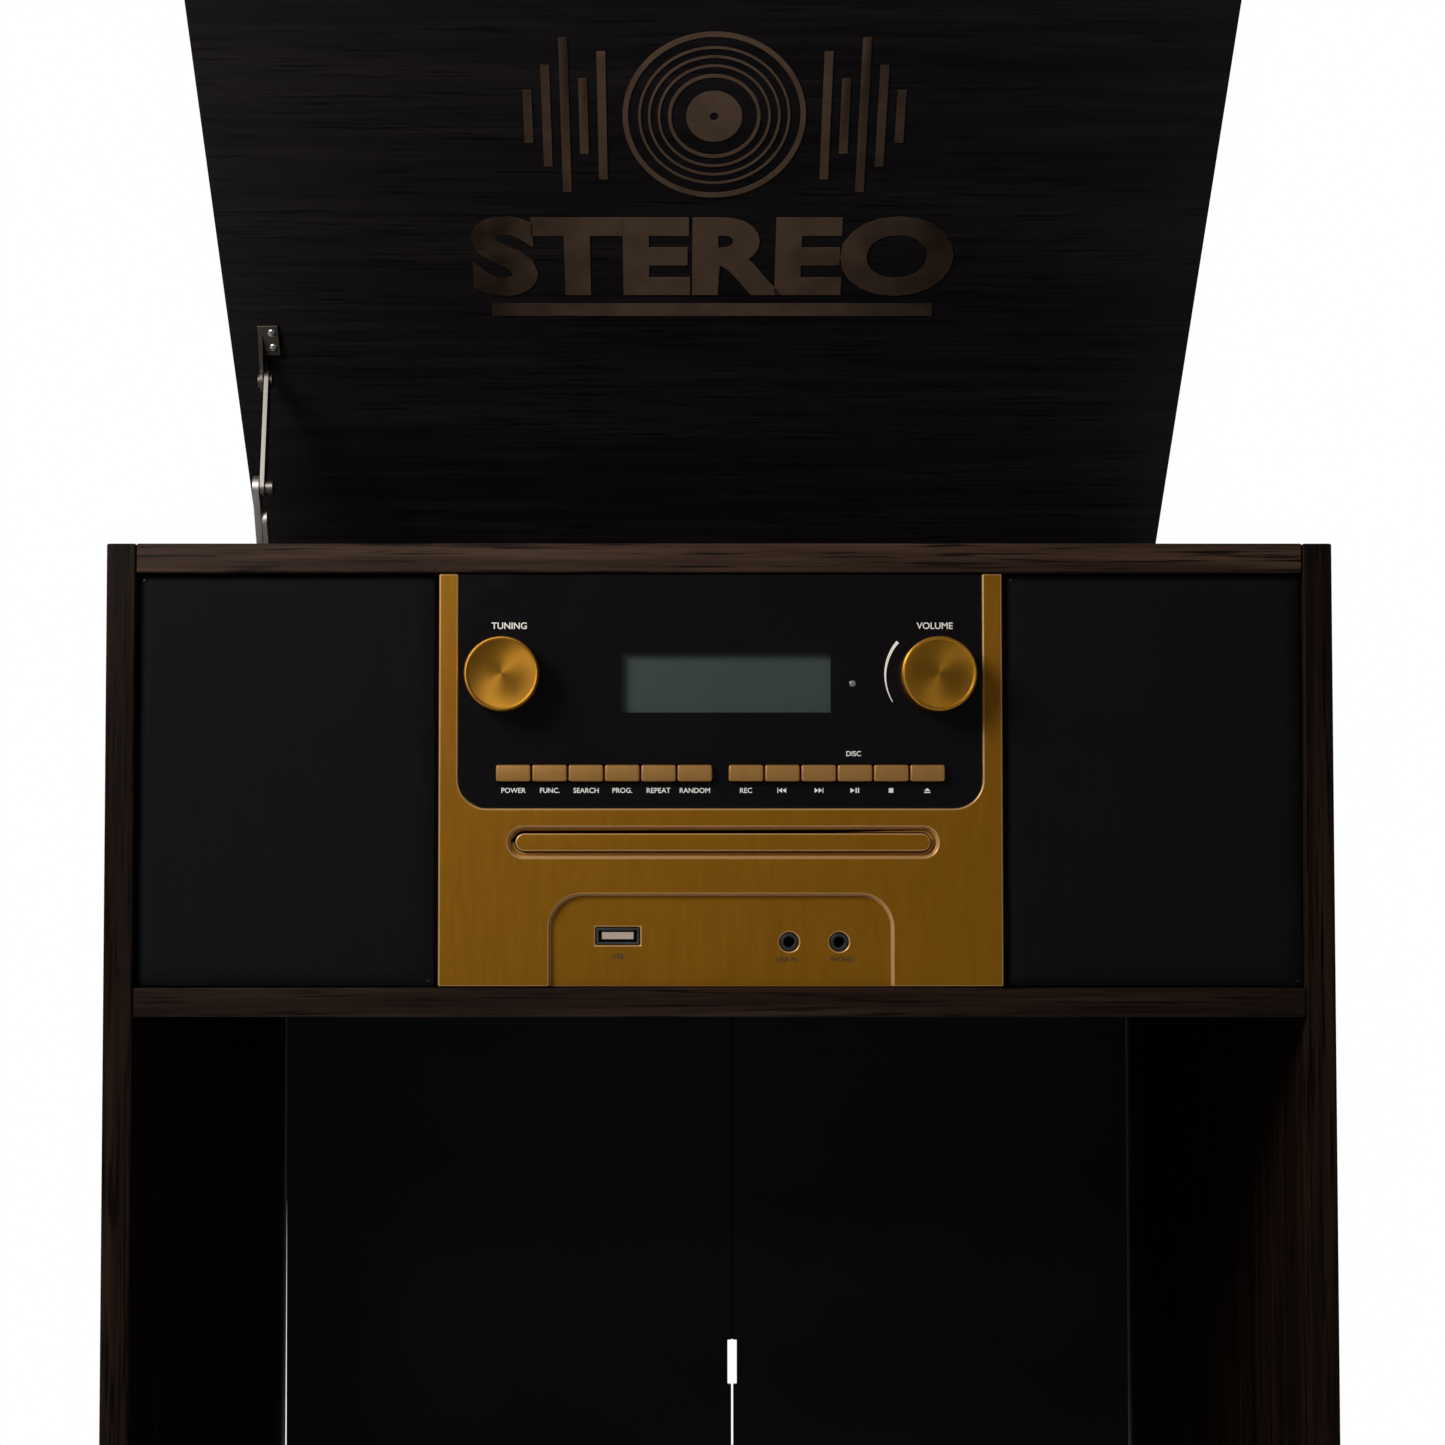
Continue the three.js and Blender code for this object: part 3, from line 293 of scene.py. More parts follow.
goldSet = {
    "base": (0.335, 0.14, 0.0045),
    "warm": (0.265, 0.106, 0.003),
    "rough": (0.28, 0.36),
    "metal": 0.5,
    # cut: the colour of the painted highlight on the sloped faces round the openings; the keys get none
    "cut": (0.5, 0.285, 0.12),
    "cutReach": 0.099,
    "cutBack": -0.1765,
    "plateFront": -0.172,
    "plate": (0.012, 0.0115, 0.012),
    "plainMetal": 0.25,
}
keyGoldSet = {"base": (0.4, 0.2, 0.056), "warm": (0.34, 0.168, 0.046), "rough": (0.32, 0.42), "cutReach": 0}


# Satin gold on the fascia: faint upright streaks, a fine orange peel, and a painted highlight on the sloped
# faces round its openings; behind the front the moulding is bare black
def goldPanel(name, tones=goldSet):
    finish = Finish(name, tones["base"], 0.3, goldSet["metal"], Specular_IOR_Level=0.35)
    streak = finish.noise(1.0, 3, (420, 420, 60))
    cloud = finish.noise(22.0, 3)
    mixed = finish.math("ADD", finish.math("MULTIPLY", streak, 0.5), finish.math("MULTIPLY", cloud, 0.5))
    field = finish.blend(mixed, tones["warm"], tones["base"])
    normal = finish.node("NewGeometry").outputs["True Normal"]
    frontal = finish.math("ABSOLUTE", finish.node("SeparateXYZ", {0: normal}).outputs["Y"])
    place = finish.node("SeparateXYZ", {0: finish.places})
    inside = finish.math("LESS_THAN", finish.math("ABSOLUTE", place.outputs["X"]), tones["cutReach"])
    front = finish.math("LESS_THAN", place.outputs["Y"], goldSet["cutBack"])
    sloped = finish.range(frontal, 0.98, 0.9)
    paintedHighlight = finish.math("MULTIPLY", finish.math("MULTIPLY", inside, front), sloped)
    plate = finish.math("GREATER_THAN", place.outputs["Y"], goldSet["plateFront"])
    highlightedField = finish.blend(paintedHighlight, field, goldSet["cut"])
    finish.color(finish.blend(plate, highlightedField, goldSet["plate"]))
    plain = finish.math("MAXIMUM", paintedHighlight, plate)
    metal = finish.range(plain, 0, 1, goldSet["metal"], goldSet["plainMetal"])
    finish.tree.links.new(metal, finish.shader.inputs["Metallic"])
    finish.roughness(streak, *tones["rough"])
    finish.bump(finish.noise(1300.0, 2), 0.00002, 0.5)
    return finish.material


# Spun gold: rings cut by the lathe, with the sheen drawn out across them
def spunMetal(name, color, rough, centre, axis="Y", rings=0.00035):
    finish = Finish(name, color, rough, 1.0, Anisotropic=0.5)
    tangent = finish.node("Tangent", direction_type="RADIAL", axis=axis)
    finish.tree.links.new(tangent.outputs[0], finish.shader.inputs["Tangent"])
    offset = finish.node("VectorMath", {0: finish.places, 1: centre}, operation="SUBTRACT").outputs[0]
    flat = (1, 0, 1) if axis == "Y" else (1, 1, 0)
    level = finish.node("VectorMath", {0: offset, 1: flat}, operation="MULTIPLY").outputs[0]
    reach = finish.node("VectorMath", {0: level}, operation="LENGTH").outputs["Value"]
    ring = finish.math("SINE", finish.math("MULTIPLY", reach, turn / rings))
    uneven = finish.node("TexNoise", {"Vector": level, "Scale": 500.0, "Detail": 2.0}).outputs["Fac"]
    cut = finish.math("MULTIPLY", ring, uneven)
    finish.color(finish.blend(finish.range(cut, -0.5, 0.5), scaled(color, 0.86), scaled(color, 1.1)))
    finish.bump(cut, 0.000006, 0.6)
    return finish.material


# Black panel plastic: mirror smooth, with dust-fine haze in its gloss
def glossBlack():
    finish = Finish("windowBlack", (0.0035, 0.003, 0.0038), 0.1, Specular_IOR_Level=0.3)
    finish.roughness(finish.noise(120.0, 5), 0.05, 0.16)
    finish.color(finish.blend(finish.noise(30.0, 3), (0.0028, 0.0024, 0.003), (0.0045, 0.0038, 0.0048)))
    return finish.material


displaySet = {"glass": (0.040, 0.056, 0.049), "cell": 0.0006}


bronzeSet = {"bright": (0.15, 0.092, 0.058), "dull": (0.03, 0.017, 0.0105), "inner": 0.03, "outer": 0.105}


# Bronze leaf on the lid, darker towards its two sides
def emblemBronze():
    finish = Finish("emblemBronze", bronzeSet["bright"], 0.45, 0.5)
    across = finish.node("SeparateXYZ", {0: finish.places}).outputs["X"]
    sideFade = finish.range(finish.math("ABSOLUTE", across), bronzeSet["inner"], bronzeSet["outer"])
    patchy = finish.math("ADD", sideFade, finish.range(finish.noise(60.0, 4), 0.35, 0.65, -0.2, 0.2))
    finish.color(finish.blend(patchy, bronzeSet["bright"], bronzeSet["dull"]))
    finish.roughness(finish.noise(90.0, 3), 0.38, 0.55)
    finish.bump(finish.noise(1200.0, 2), 0.00002, 0.5)
    return finish.material


# The unlit display: a faint grid of cells under clear glass
def displayGlass():
    finish = Finish("displayGlass", displaySet["glass"], 0.2, Coat_Weight=0.6, Coat_Roughness=0.05)
    split = finish.node("SeparateXYZ", {0: finish.places})
    lines = []
    for axis in ("X", "Z"):
        phase = finish.math("FRACT", finish.math("DIVIDE", split.outputs[axis], displaySet["cell"]))
        lines.append(finish.math("GREATER_THAN", phase, 0.14))
    cell = finish.math("MULTIPLY", lines[0], lines[1])
    cloud = finish.noise(25.0, 2)
    tint = finish.blend(cloud, scaled(displaySet["glass"], 0.92), scaled(displaySet["glass"], 1.08))
    finish.color(finish.blend(cell, scaled(displaySet["glass"], 0.9), tint))
    finish.roughness(cloud, 0.16, 0.26)
    return finish.material


finishes.update(
    backSheet=textured(
        "backSheet", (0.017, 0.0145, 0.0155), (0.7, 0.85), grain=500.0, depth=0.00006, drift=0.3
    ),
    baffle=textured("baffleBlack", (0.008, 0.007, 0.007), (0.6, 0.75)),
    cloth=grilleCloth(),
    frameBlack=textured("frameBlack", (0.010, 0.0095, 0.0105), (0.45, 0.6)),
    gold=goldPanel("goldPanel"),
    goldKey=goldPanel("goldKey", keyGoldSet),
    window=glossBlack(),
    display=displayGlass(),
    whitePrint=textured("whitePrint", (0.75, 0.73, 0.68), (0.5, 0.6), drift=0.05),
    darkPrint=textured("darkPrint", (0.03, 0.016, 0.006), (0.5, 0.6), drift=0.1),
    emblem=emblemBronze(),
    steel=brushed("stripSteel", (0.22, 0.2, 0.18), (0.36, 0.5), "z"),
    # Lit and shaded copies of the stay's one steel: painted light and painted shade
    paleSteel=brushed("paleSteel", (0.5, 0.45, 0.42), (0.4, 0.55), "z"),
    dullSteel=brushed("dullSteel", (0.11, 0.09, 0.078), (0.4, 0.55), "z"),
    screw=brushed("screwSteel", (0.5, 0.49, 0.46), (0.25, 0.4), "x"),
    arm=brushed("armMetal", (0.62, 0.61, 0.59), (0.18, 0.3), "y"),
    brass=brushed("turnedBrass", (0.6, 0.42, 0.17), (0.25, 0.4), "z"),
    darkMetal=brushed("darkMetal", (0.12, 0.12, 0.125), (0.3, 0.45), "x"),
    moulding=textured("blackMoulding", (0.012, 0.012, 0.013), (0.42, 0.58), grain=1400.0, depth=0.00005),
    rubber=textured("blackRubber", (0.011, 0.011, 0.012), (0.7, 0.85), grain=700.0, depth=0.00005),
    paper=textured("conePaper", (0.016, 0.015, 0.015), (0.75, 0.9), grain=420.0, depth=0.00015, drift=0.3),
    tongue=textured("paleTongue", (0.42, 0.33, 0.27), (0.35, 0.5), drift=0.08),
    ledLens=textured("sensorLens", (0.16, 0.15, 0.14), (0.12, 0.2), drift=0.1),
)
print("finishes are mixed")


# Modelling helpers

def mm(*values):
    lengths = tuple(value / 1000 for value in values)
    return lengths if len(lengths) > 1 else lengths[0]


def pick(piece):
    if bpy.context.mode != "OBJECT":
        bpy.ops.object.mode_set(mode="OBJECT")
    bpy.ops.object.select_all(action="DESELECT")
    piece.select_set(True)
    bpy.context.view_layer.objects.active = piece


def drop():
    if bpy.context.mode != "OBJECT":
        bpy.ops.object.mode_set(mode="OBJECT")
    bpy.ops.object.select_all(action="DESELECT")


def named(name):
    piece = bpy.context.active_object
    piece.name = name
    piece.data.name = name
    bpy.ops.object.transform_apply(location=True, rotation=True, scale=True)
    return piece


def block(name, low, high):
    drop()
    centre = [(a + b) / 2 for a, b in zip(low, high)]
    size = [b - a for a, b in zip(low, high)]
    bpy.ops.mesh.primitive_cube_add(size=1, location=centre, scale=size)
    return named(name)


def apply(piece, kind, **settings):
    pick(piece)
    modifier = piece.modifiers.new(kind.lower(), kind)
    for key, value in settings.items():
        setattr(modifier, key, value)
    bpy.ops.object.modifier_apply(modifier=modifier.name)


def soften(piece, width, segments=2, limit=32, clamp=True):
    if width:
        apply(
            piece, "BEVEL", width=width, segments=segments, limit_method="ANGLE",
            angle_limit=math.radians(limit), use_clamp_overlap=clamp,
        )
    pick(piece)
    bpy.ops.object.shade_smooth_by_angle(angle=math.radians(limit))
    if width:
        apply(piece, "WEIGHTED_NORMAL", keep_sharp=True, weight=100)


def selectFaces(piece, test):
    pick(piece)
    bpy.ops.object.mode_set(mode="EDIT")
    bpy.ops.mesh.select_mode(type="FACE")
    bpy.ops.mesh.select_all(action="DESELECT")
    bpy.ops.object.mode_set(mode="OBJECT")
    for face in piece.data.polygons:
        face.select = test(face.center, face.normal)
    bpy.ops.object.mode_set(mode="EDIT")


def moved(piece, matrix):
    piece.data.transform(matrix)
    return piece


def joined(name, pieces):
    drop()
    for piece in pieces:
        piece.select_set(True)
    bpy.context.view_layer.objects.active = pieces[0]
    if len(pieces) > 1:
        bpy.ops.object.join()
    piece = bpy.context.active_object
    piece.name = name
    piece.data.name = name
    return piece


def copied(piece, name, matrix):
    twin = bpy.data.objects.new(name, piece.data.copy())
    bpy.context.scene.collection.objects.link(twin)
    return moved(twin, matrix)


# A ring or a solid turned about an axis: the outline's points are (radius, height)
def spun(name, outline, centre, axis="z", steps=64, closed=False):
    drop()
    mesh = bpy.data.meshes.new(name)
    across, along = {"z": ("x", "z"), "y": ("x", "y"), "x": ("y", "x")}[axis]
    points = []
    for radius, height in outline:
        point = Vector(centre)
        setattr(point, across, getattr(point, across) + radius)
        setattr(point, along, getattr(point, along) + height)
        points.append(point)
    count = len(points)
    edges = [(i, (i + 1) % count) for i in range(count if closed else count - 1)]
    mesh.from_pydata(points, edges, [])
    piece = bpy.data.objects.new(name, mesh)
    bpy.context.scene.collection.objects.link(piece)
    pick(piece)
    bpy.ops.object.mode_set(mode="EDIT")
    bpy.ops.mesh.select_all(action="SELECT")
    direction = {"x": (1, 0, 0), "y": (0, 1, 0), "z": (0, 0, 1)}[axis]
    bpy.ops.mesh.spin(steps=steps, angle=turn, center=centre, axis=direction)
    bpy.ops.mesh.select_all(action="SELECT")
    bpy.ops.mesh.remove_doubles(threshold=0.000002)
    bpy.ops.mesh.normals_make_consistent(inside=False)
    bpy.ops.object.mode_set(mode="OBJECT")
    return piece


# A fine copy of a CAD node: its loose triangles welded into flat faces, its edges rounded
def refined(node, name, width=0.0, segments=2, limit=32, clamp=True):
    drop()
    piece = bpy.data.objects.new(name, nodes[node].data.copy())
    bpy.context.scene.collection.objects.link(piece)
    pick(piece)
    bpy.ops.object.mode_set(mode="EDIT")
    bpy.ops.mesh.select_all(action="SELECT")
    bpy.ops.mesh.remove_doubles(threshold=0.00001)
    bpy.ops.mesh.dissolve_limited(angle_limit=math.radians(0.5))
    bpy.ops.object.mode_set(mode="OBJECT")
    soften(piece, width, segments, limit, clamp)
    return piece


def finished(piece, body, slot, finish, *replaced):
    piece.data.materials.clear()
    piece.data.materials.append(finishes[finish])
    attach(piece, body)
    if replaced:
        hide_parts(*replaced)
    return piece


def lettering(words, centre, height, width=None, thick=0.00003, fat=0.0):
    drop()
    bpy.ops.object.text_add()
    text = bpy.context.active_object
    text.data.body = words
    text.data.align_x = "CENTER"
    text.data.align_y = "CENTER"
    text.data.offset = fat
    text.data.extrude = 0.01
    text.data.resolution_u = 5
    bpy.ops.object.convert(target="MESH")
    piece = bpy.context.active_object
    corners = [Vector(corner) for corner in piece.bound_box]
    low = Vector([min(corner[i] for corner in corners) for i in range(3)])
    high = Vector([max(corner[i] for corner in corners) for i in range(3)])
    size = high - low
    scaleY = height / size.y
    scaleX = width / size.x if width else scaleY
    middle = (low + high) / 2
    moved(piece, Matrix.Translation(-middle))
    moved(piece, Matrix.Diagonal((scaleX, scaleY, thick / size.z, 1)))
    return moved(piece, Matrix.Translation(centre))


# Flat work drawn in x and y, then stood up to face the front at a depth
def stood(piece, depth):
    return moved(piece, Matrix.Translation((0, depth, 0)) @ Matrix.Rotation(math.pi / 2, 4, "X"))


# A cross-headed screw, modelled once at the origin with its head along +z
screwSet = {
    "head": mm(3.1),
    "rise": mm(1.1),
    "slotLow": mm(-1.9, -0.36, 0.45),
    "slotHigh": mm(1.9, 0.36, 3),
    "firstTurn": 0.6,
    "nextTurn": 1.1,
}


def screwHead():
    head = screwSet["head"]
    rise = screwSet["rise"]
    outline = [
        (0, 0), (head, 0), (head, rise * 0.25), (head * 0.86, rise * 0.7), (head * 0.5, rise), (0, rise),
    ]
    screw = spun("screwMaster", outline, (0, 0, 0), "z", 24)
    for angle in (0, math.pi / 2):
        slot = block("slotTool", screwSet["slotLow"], screwSet["slotHigh"])
        moved(slot, Matrix.Rotation(angle, 4, "Z"))
        apply(screw, "BOOLEAN", operation="DIFFERENCE", object=slot, solver="EXACT")
        bpy.data.objects.remove(slot)
    soften(screw, 0)
    return screw


screwMaster = screwHead()
facing = {
    "back": Matrix.Rotation(-math.pi / 2, 4, "X"),
    "up": Matrix.Identity(4),
    "down": Matrix.Rotation(math.pi, 4, "X"),
}


def screwsAt(name, places, direction, body, slot="hinge_steel", size=1.0, extra=None):
    heads = []
    for index, place in enumerate(places):
        angle = screwSet["firstTurn"] + index * screwSet["nextTurn"]
        spin = Matrix.Rotation(angle, 4, "Z") @ Matrix.Scale(size, 4)
        matrix = Matrix.Translation(place) @ facing[direction] @ spin
        if extra is not None:
            matrix = extra @ matrix
        heads.append(copied(screwMaster, f"{name}{index}", matrix))
    return finished(joined(name, heads), body, slot, "screw")


print("helpers are ready")


# The hinge line, and the turn that takes a shut lid's pieces to where the open lid holds them

hingePin = Vector(mm(0, 184, 680))
lidOpen = Matrix.Translation(hingePin) @ Matrix.Rotation(-math.pi / 4, 4, "X") @ Matrix.Translation(-hingePin)

caseSet = {
    "edge": mm(0.7),
    "railEdge": mm(0.55),
    "sheetEdge": mm(0.25),
    "coverInset": mm(7),
    "sheetLow": mm(5),
    "sheetHigh": mm(3),
    "sheetColumns": (0.08, 0.5, 0.92),
}


# Boards with eased edges, and the back's sheets with their screws
def makeCase():
    boards = {
        "side_panel_left": ("sideLeft", "side"),
        "side_panel_right": ("sideRight", "side"),
        "top_rail_front": ("topRail", "topRail"),
        "top_rail_rear": ("rearRail", "shelf"),
        "middle_shelf": ("middleShelf", "shelf"),
        "bottom_panel": ("bottomBoard", "shelf"),
    }
    for node, (name, finish) in boards.items():
        board = block(name, *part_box(node))
        soften(board, caseSet["edge"] if node.startswith("side") else caseSet["railEdge"], 3)
        finished(board, "cabinet", "dark_veneer", finish, node)
    for node in ("back_panel_left", "back_panel_right", "rear_cover"):
        sheet = refined(node, node + "Sheet", caseSet["sheetEdge"], 1)
        finished(sheet, "cabinet", "back_sheet", "backSheet", node)
    board = refined("front_baffle", "baffleBoard", mm(0.3), 1)
    finished(board, "cabinet", "baffle_board", "baffle", "front_baffle")
    low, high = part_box("rear_cover")
    inset = caseSet["coverInset"]
    spots = [
        (x, high[1], z)
        for x in (low[0] + inset, (low[0] + high[0]) / 2, high[0] - inset)
        for z in (low[2] + inset, high[2] - inset)
    ]
    screwsAt("rearCoverScrews", spots, "back", "cabinet", size=0.85)
    edges = []
    for node in ("back_panel_left", "back_panel_right"):
        low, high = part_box(node)
        rows = [low[2] + caseSet["sheetLow"], high[2] - caseSet["sheetHigh"]]
        columns = [low[0] + (high[0] - low[0]) * part for part in caseSet["sheetColumns"]]
        edges += [(x, high[1], z) for x in columns for z in rows]
    screwsAt("backSheetScrews", edges, "back", "cabinet", size=0.7)


legSet = {"steps": 56, "shoulder": mm(6), "crown": mm(1.2)}


# Round tapered legs: a rounded foot, a slow swell and a straight shoulder under the board
def makeLegs():
    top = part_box("leg_front_left")[1][2]
    outline = [
        (0, 0), mm(8.6, 0), mm(9.4, 0.35), mm(9.9, 1.4), mm(10.6, 14), mm(12.4, 58), mm(14.3, 104),
        mm(15.9, 140), (mm(16.8), top - legSet["shoulder"] - mm(4)), (mm(17), top - legSet["shoulder"]),
        (mm(17), top - legSet["crown"]), (mm(16.2), top), (0, top),
    ]
    for node in ("leg_front_left", "leg_front_right", "leg_rear_left", "leg_rear_right"):
        low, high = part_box(node)
        centre = ((low[0] + high[0]) / 2, (low[1] + high[1]) / 2, 0)
        leg = spun(node + "Turned", outline, centre, "z", legSet["steps"])
        soften(leg, 0, limit=40)
        finished(leg, "cabinet", "leg_wood", "leg", node)


grilleSet = {
    "bar": mm(6),
    "crown": mm(0.5),
    "wrap": mm(1.1),
    "tuck": 0.9,
    "rollFrom": 0.96,
    "thick": mm(0.45),
    "clear": mm(0.15),
    "columns": 30,
    "rows": 42,
}


# Each grille: a moulded frame, and one sheet of cloth stretched over its face and edges
def makeGrille(side):
    node = "grille_" + side
    low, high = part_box(node)
    wrap = grilleSet["wrap"]
    tuck = wrap * grilleSet["tuck"]
    frameLow = (low[0] + tuck, low[1] + wrap, low[2] + tuck)
    frameHigh = (high[0] - tuck, high[1], high[2] - tuck)
    ring = block(node + "Frame", frameLow, frameHigh)
    selectFaces(ring, lambda centre, normal: abs(normal.y) > 0.9)
    bpy.ops.mesh.inset(thickness=grilleSet["bar"], depth=0)
    bpy.ops.mesh.bridge_edge_loops()
    drop()
    soften(ring, mm(0.6), 2)
    finished(ring, "cabinet", "grille_cloth", "frameBlack", node)

    width = high[0] - low[0]
    height = high[2] - low[2]
    drop()
    bpy.ops.mesh.primitive_grid_add(
        x_subdivisions=grilleSet["columns"], y_subdivisions=grilleSet["rows"], size=1,
        location=(0, 0, 0), rotation=(math.pi / 2, 0, 0),
    )
    cloth = moved(named(node + "Cloth"), Matrix.Diagonal((width, 1, height, 1)))
    centreX = (low[0] + high[0]) / 2
    centreZ = (low[2] + high[2]) / 2
    for vertex in cloth.data.vertices:
        u = abs(vertex.co.x) / (width / 2)
        v = abs(vertex.co.z) / (height / 2)
        edge = max(u, v)
        belly = grilleSet["crown"] * (1 - u ** 2) * (1 - v ** 2)
        roll = wrap * max(0.0, (edge - grilleSet["rollFrom"]) / (1 - grilleSet["rollFrom"])) ** 2
        depth = low[1] + grilleSet["clear"] + belly * 0.6 + roll
        vertex.co = Vector((vertex.co.x + centreX, depth, vertex.co.z + centreZ))
    apply(cloth, "SOLIDIFY", thickness=grilleSet["thick"], offset=-1)
    soften(cloth, 0, limit=60)
    finished(cloth, "cabinet", "grille_cloth", "cloth")


makeCase()
makeLegs()
makeGrille("left")
makeGrille("right")
print("case, legs and grilles are made")


# Radio front

fasciaSet = {"edge": mm(0.6), "windowEdge": mm(0.3), "keyEdge": mm(0.7)}


# The gold front, its black window, the display and the keys
def makeFascia():
    panel = refined("fascia_panel", "fascia", fasciaSet["edge"], 2, 50, False)
    finished(panel, "cabinet", "gold_panel", "gold", "fascia_panel")
    pane = refined("control_window", "window", fasciaSet["windowEdge"], 2, 50)
    finished(pane, "cabinet", "window", "window", "control_window")
    finished(refined("lcd_display", "display", mm(0.3), 1), "cabinet", "display", "display", "lcd_display")
    for node in [name for name in nodes if name.startswith("button_")]:
        key = refined(node, node.replace("button_", "") + "Key", fasciaSet["keyEdge"], 2, 50)
        finished(key, "key_" + node[7:], "gold_key", "goldKey", node)


knobSet = {
    "radius": mm(12.75),
    "rear": mm(-179.0),
    "shaft": mm(3),
    # The two knobs are one spun gold; their two colours differ only as painted light and painted shade
    "sides": {
        "tuning": (mm(-74), (0.47, 0.215, 0.024), 0.38),
        "volume": (mm(74.5), (0.66, 0.3, 0.03), 0.32),
    },
}


# A knob: turned with a chamfered rim, a shallow dished face and a plain round skirt
def makeKnob(side, centreX, gold, rough):
    low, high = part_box("knob_" + side)
    centre = (centreX, 0, (low[2] + high[2]) / 2)
    radius, face, rear = knobSet["radius"], low[1], knobSet["rear"]
    rim = radius - mm(0.75)
    outline = [
        (0, high[1]), (knobSet["shaft"], high[1]), (knobSet["shaft"], rear), (radius - mm(0.5), rear),
        (radius, rear - mm(0.5)), (radius, face + mm(0.55)), (radius - mm(0.12), face + mm(0.28)),
        (radius - mm(0.38), face + mm(0.08)), (rim, face), (rim - mm(0.3), face + mm(0.08)),
        (rim - mm(0.5), face + mm(0.26)), (rim - mm(0.8), face + mm(0.32)), (radius * 0.5, face + mm(0.5)),
        (radius * 0.2, face + mm(0.55)), (0, face + mm(0.56)),
    ]
    knob = spun("knob" + side.title(), outline, centre, "y", 96)
    soften(knob, 0, limit=24)
    finishes["spun" + side] = spunMetal("spunGold" + side.title(), gold, rough, centre)
    finished(knob, side, "spun_gold", "spun" + side, "knob_" + side)


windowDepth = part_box("control_window")[0][1]
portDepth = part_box("jack_line_in")[0][1]
labelSet = {
    "height": 1.75,
    "row": 595.3,
    "pitch": 12.4,
    "lift": mm(0.012),
    "sensor": (45.7, 631.9),
    "arcCentre": (74.5, 634.7),
    "first": ("POWER", "FUNC.", "SEARCH", "PROG.", "REPEAT", "RANDOM"),
    "second": ("REC", "back", "next", "play", "stop", "eject"),
    "symbols": {
        "back": (((-0.95, -0.5), (-0.8, -0.5), (-0.8, 0.5), (-0.95, 0.5)),
                 ((-0.74, 0), (-0.02, -0.5), (-0.02, 0.5)), ((0.04, 0), (0.76, -0.5), (0.76, 0.5))),
        "next": (((-0.76, -0.5), (-0.04, 0), (-0.76, 0.5)), ((0.02, -0.5), (0.74, 0), (0.02, 0.5)),
                 ((0.8, -0.5), (0.95, -0.5), (0.95, 0.5), (0.8, 0.5))),
        "play": (((-0.85, -0.5), (0, 0), (-0.85, 0.5)), ((0.15, -0.5), (0.4, -0.5), (0.4, 0.5), (0.15, 0.5)),
                 ((0.6, -0.5), (0.85, -0.5), (0.85, 0.5), (0.6, 0.5))),
        "stop": (((-0.45, -0.45), (0.45, -0.45), (0.45, 0.45), (-0.45, 0.45)),),
        "eject": (((-0.6, -0.1), (0.6, -0.1), (0, 0.5)),
                  ((-0.6, -0.5), (0.6, -0.5), (0.6, -0.28), (-0.6, -0.28))),
    },
    "panel": (("TUNING", -72.0, 651.8, 2.3), ("VOLUME", 73.9, 651.8, 2.3), ("DISC", 46.0, 607.9, 1.75)),
    "ports": (("USB", -34.7, 538.6, 1.7), ("LINE IN", 23.0, 537.6, 1.6), ("PHONES", 41.9, 537.6, 1.6)),
    "arcRadius": 17.6,
    "arcTurn": (139, 211),
    "arcWidth": (0.25, 1.15),
    "arcSteps": 28,
    "thick": 0.03,
}


# The volume mark: a line that swells as it comes round the knob's left
def volumeArc(centreX, centreZ):
    steps = labelSet["arcSteps"]
    start, end = labelSet["arcTurn"]
    thin, thick = labelSet["arcWidth"]
    points = []
    for index in range(steps + 1):
        part = index / steps
        angle = math.radians(start + (end - start) * part)
        half = (thick + (thin - thick) * part) / 2
        for radius in (labelSet["arcRadius"] - half, labelSet["arcRadius"] + half):
            points.append(mm(centreX + radius * math.cos(angle), centreZ + radius * math.sin(angle), 0))
    faces = [(2 * i, 2 * i + 1, 2 * i + 3, 2 * i + 2) for i in range(steps)]
    mesh = bpy.data.meshes.new("volumeArc")
    mesh.from_pydata(points, [], faces)
    arc = bpy.data.objects.new("volumeArc", mesh)
    bpy.context.scene.collection.objects.link(arc)
    apply(arc, "SOLIDIFY", thickness=mm(labelSet["thick"]), offset=0)
    return arc


# A transport symbol, drawn from flat polygons in units of its height
def symbol(kind, x, z):
    size = labelSet["height"]
    points = []
    faces = []
    for polygon in labelSet["symbols"][kind]:
        faces.append(range(len(points), len(points) + len(polygon)))
        points += [mm(x + across * size, z + up * size, 0) for across, up in polygon]
    mesh = bpy.data.meshes.new(kind)
    mesh.from_pydata(points, [], faces)
    sign = bpy.data.objects.new(kind, mesh)
    bpy.context.scene.collection.objects.link(sign)
    apply(sign, "SOLIDIFY", thickness=mm(labelSet["thick"]), offset=0)
    return sign


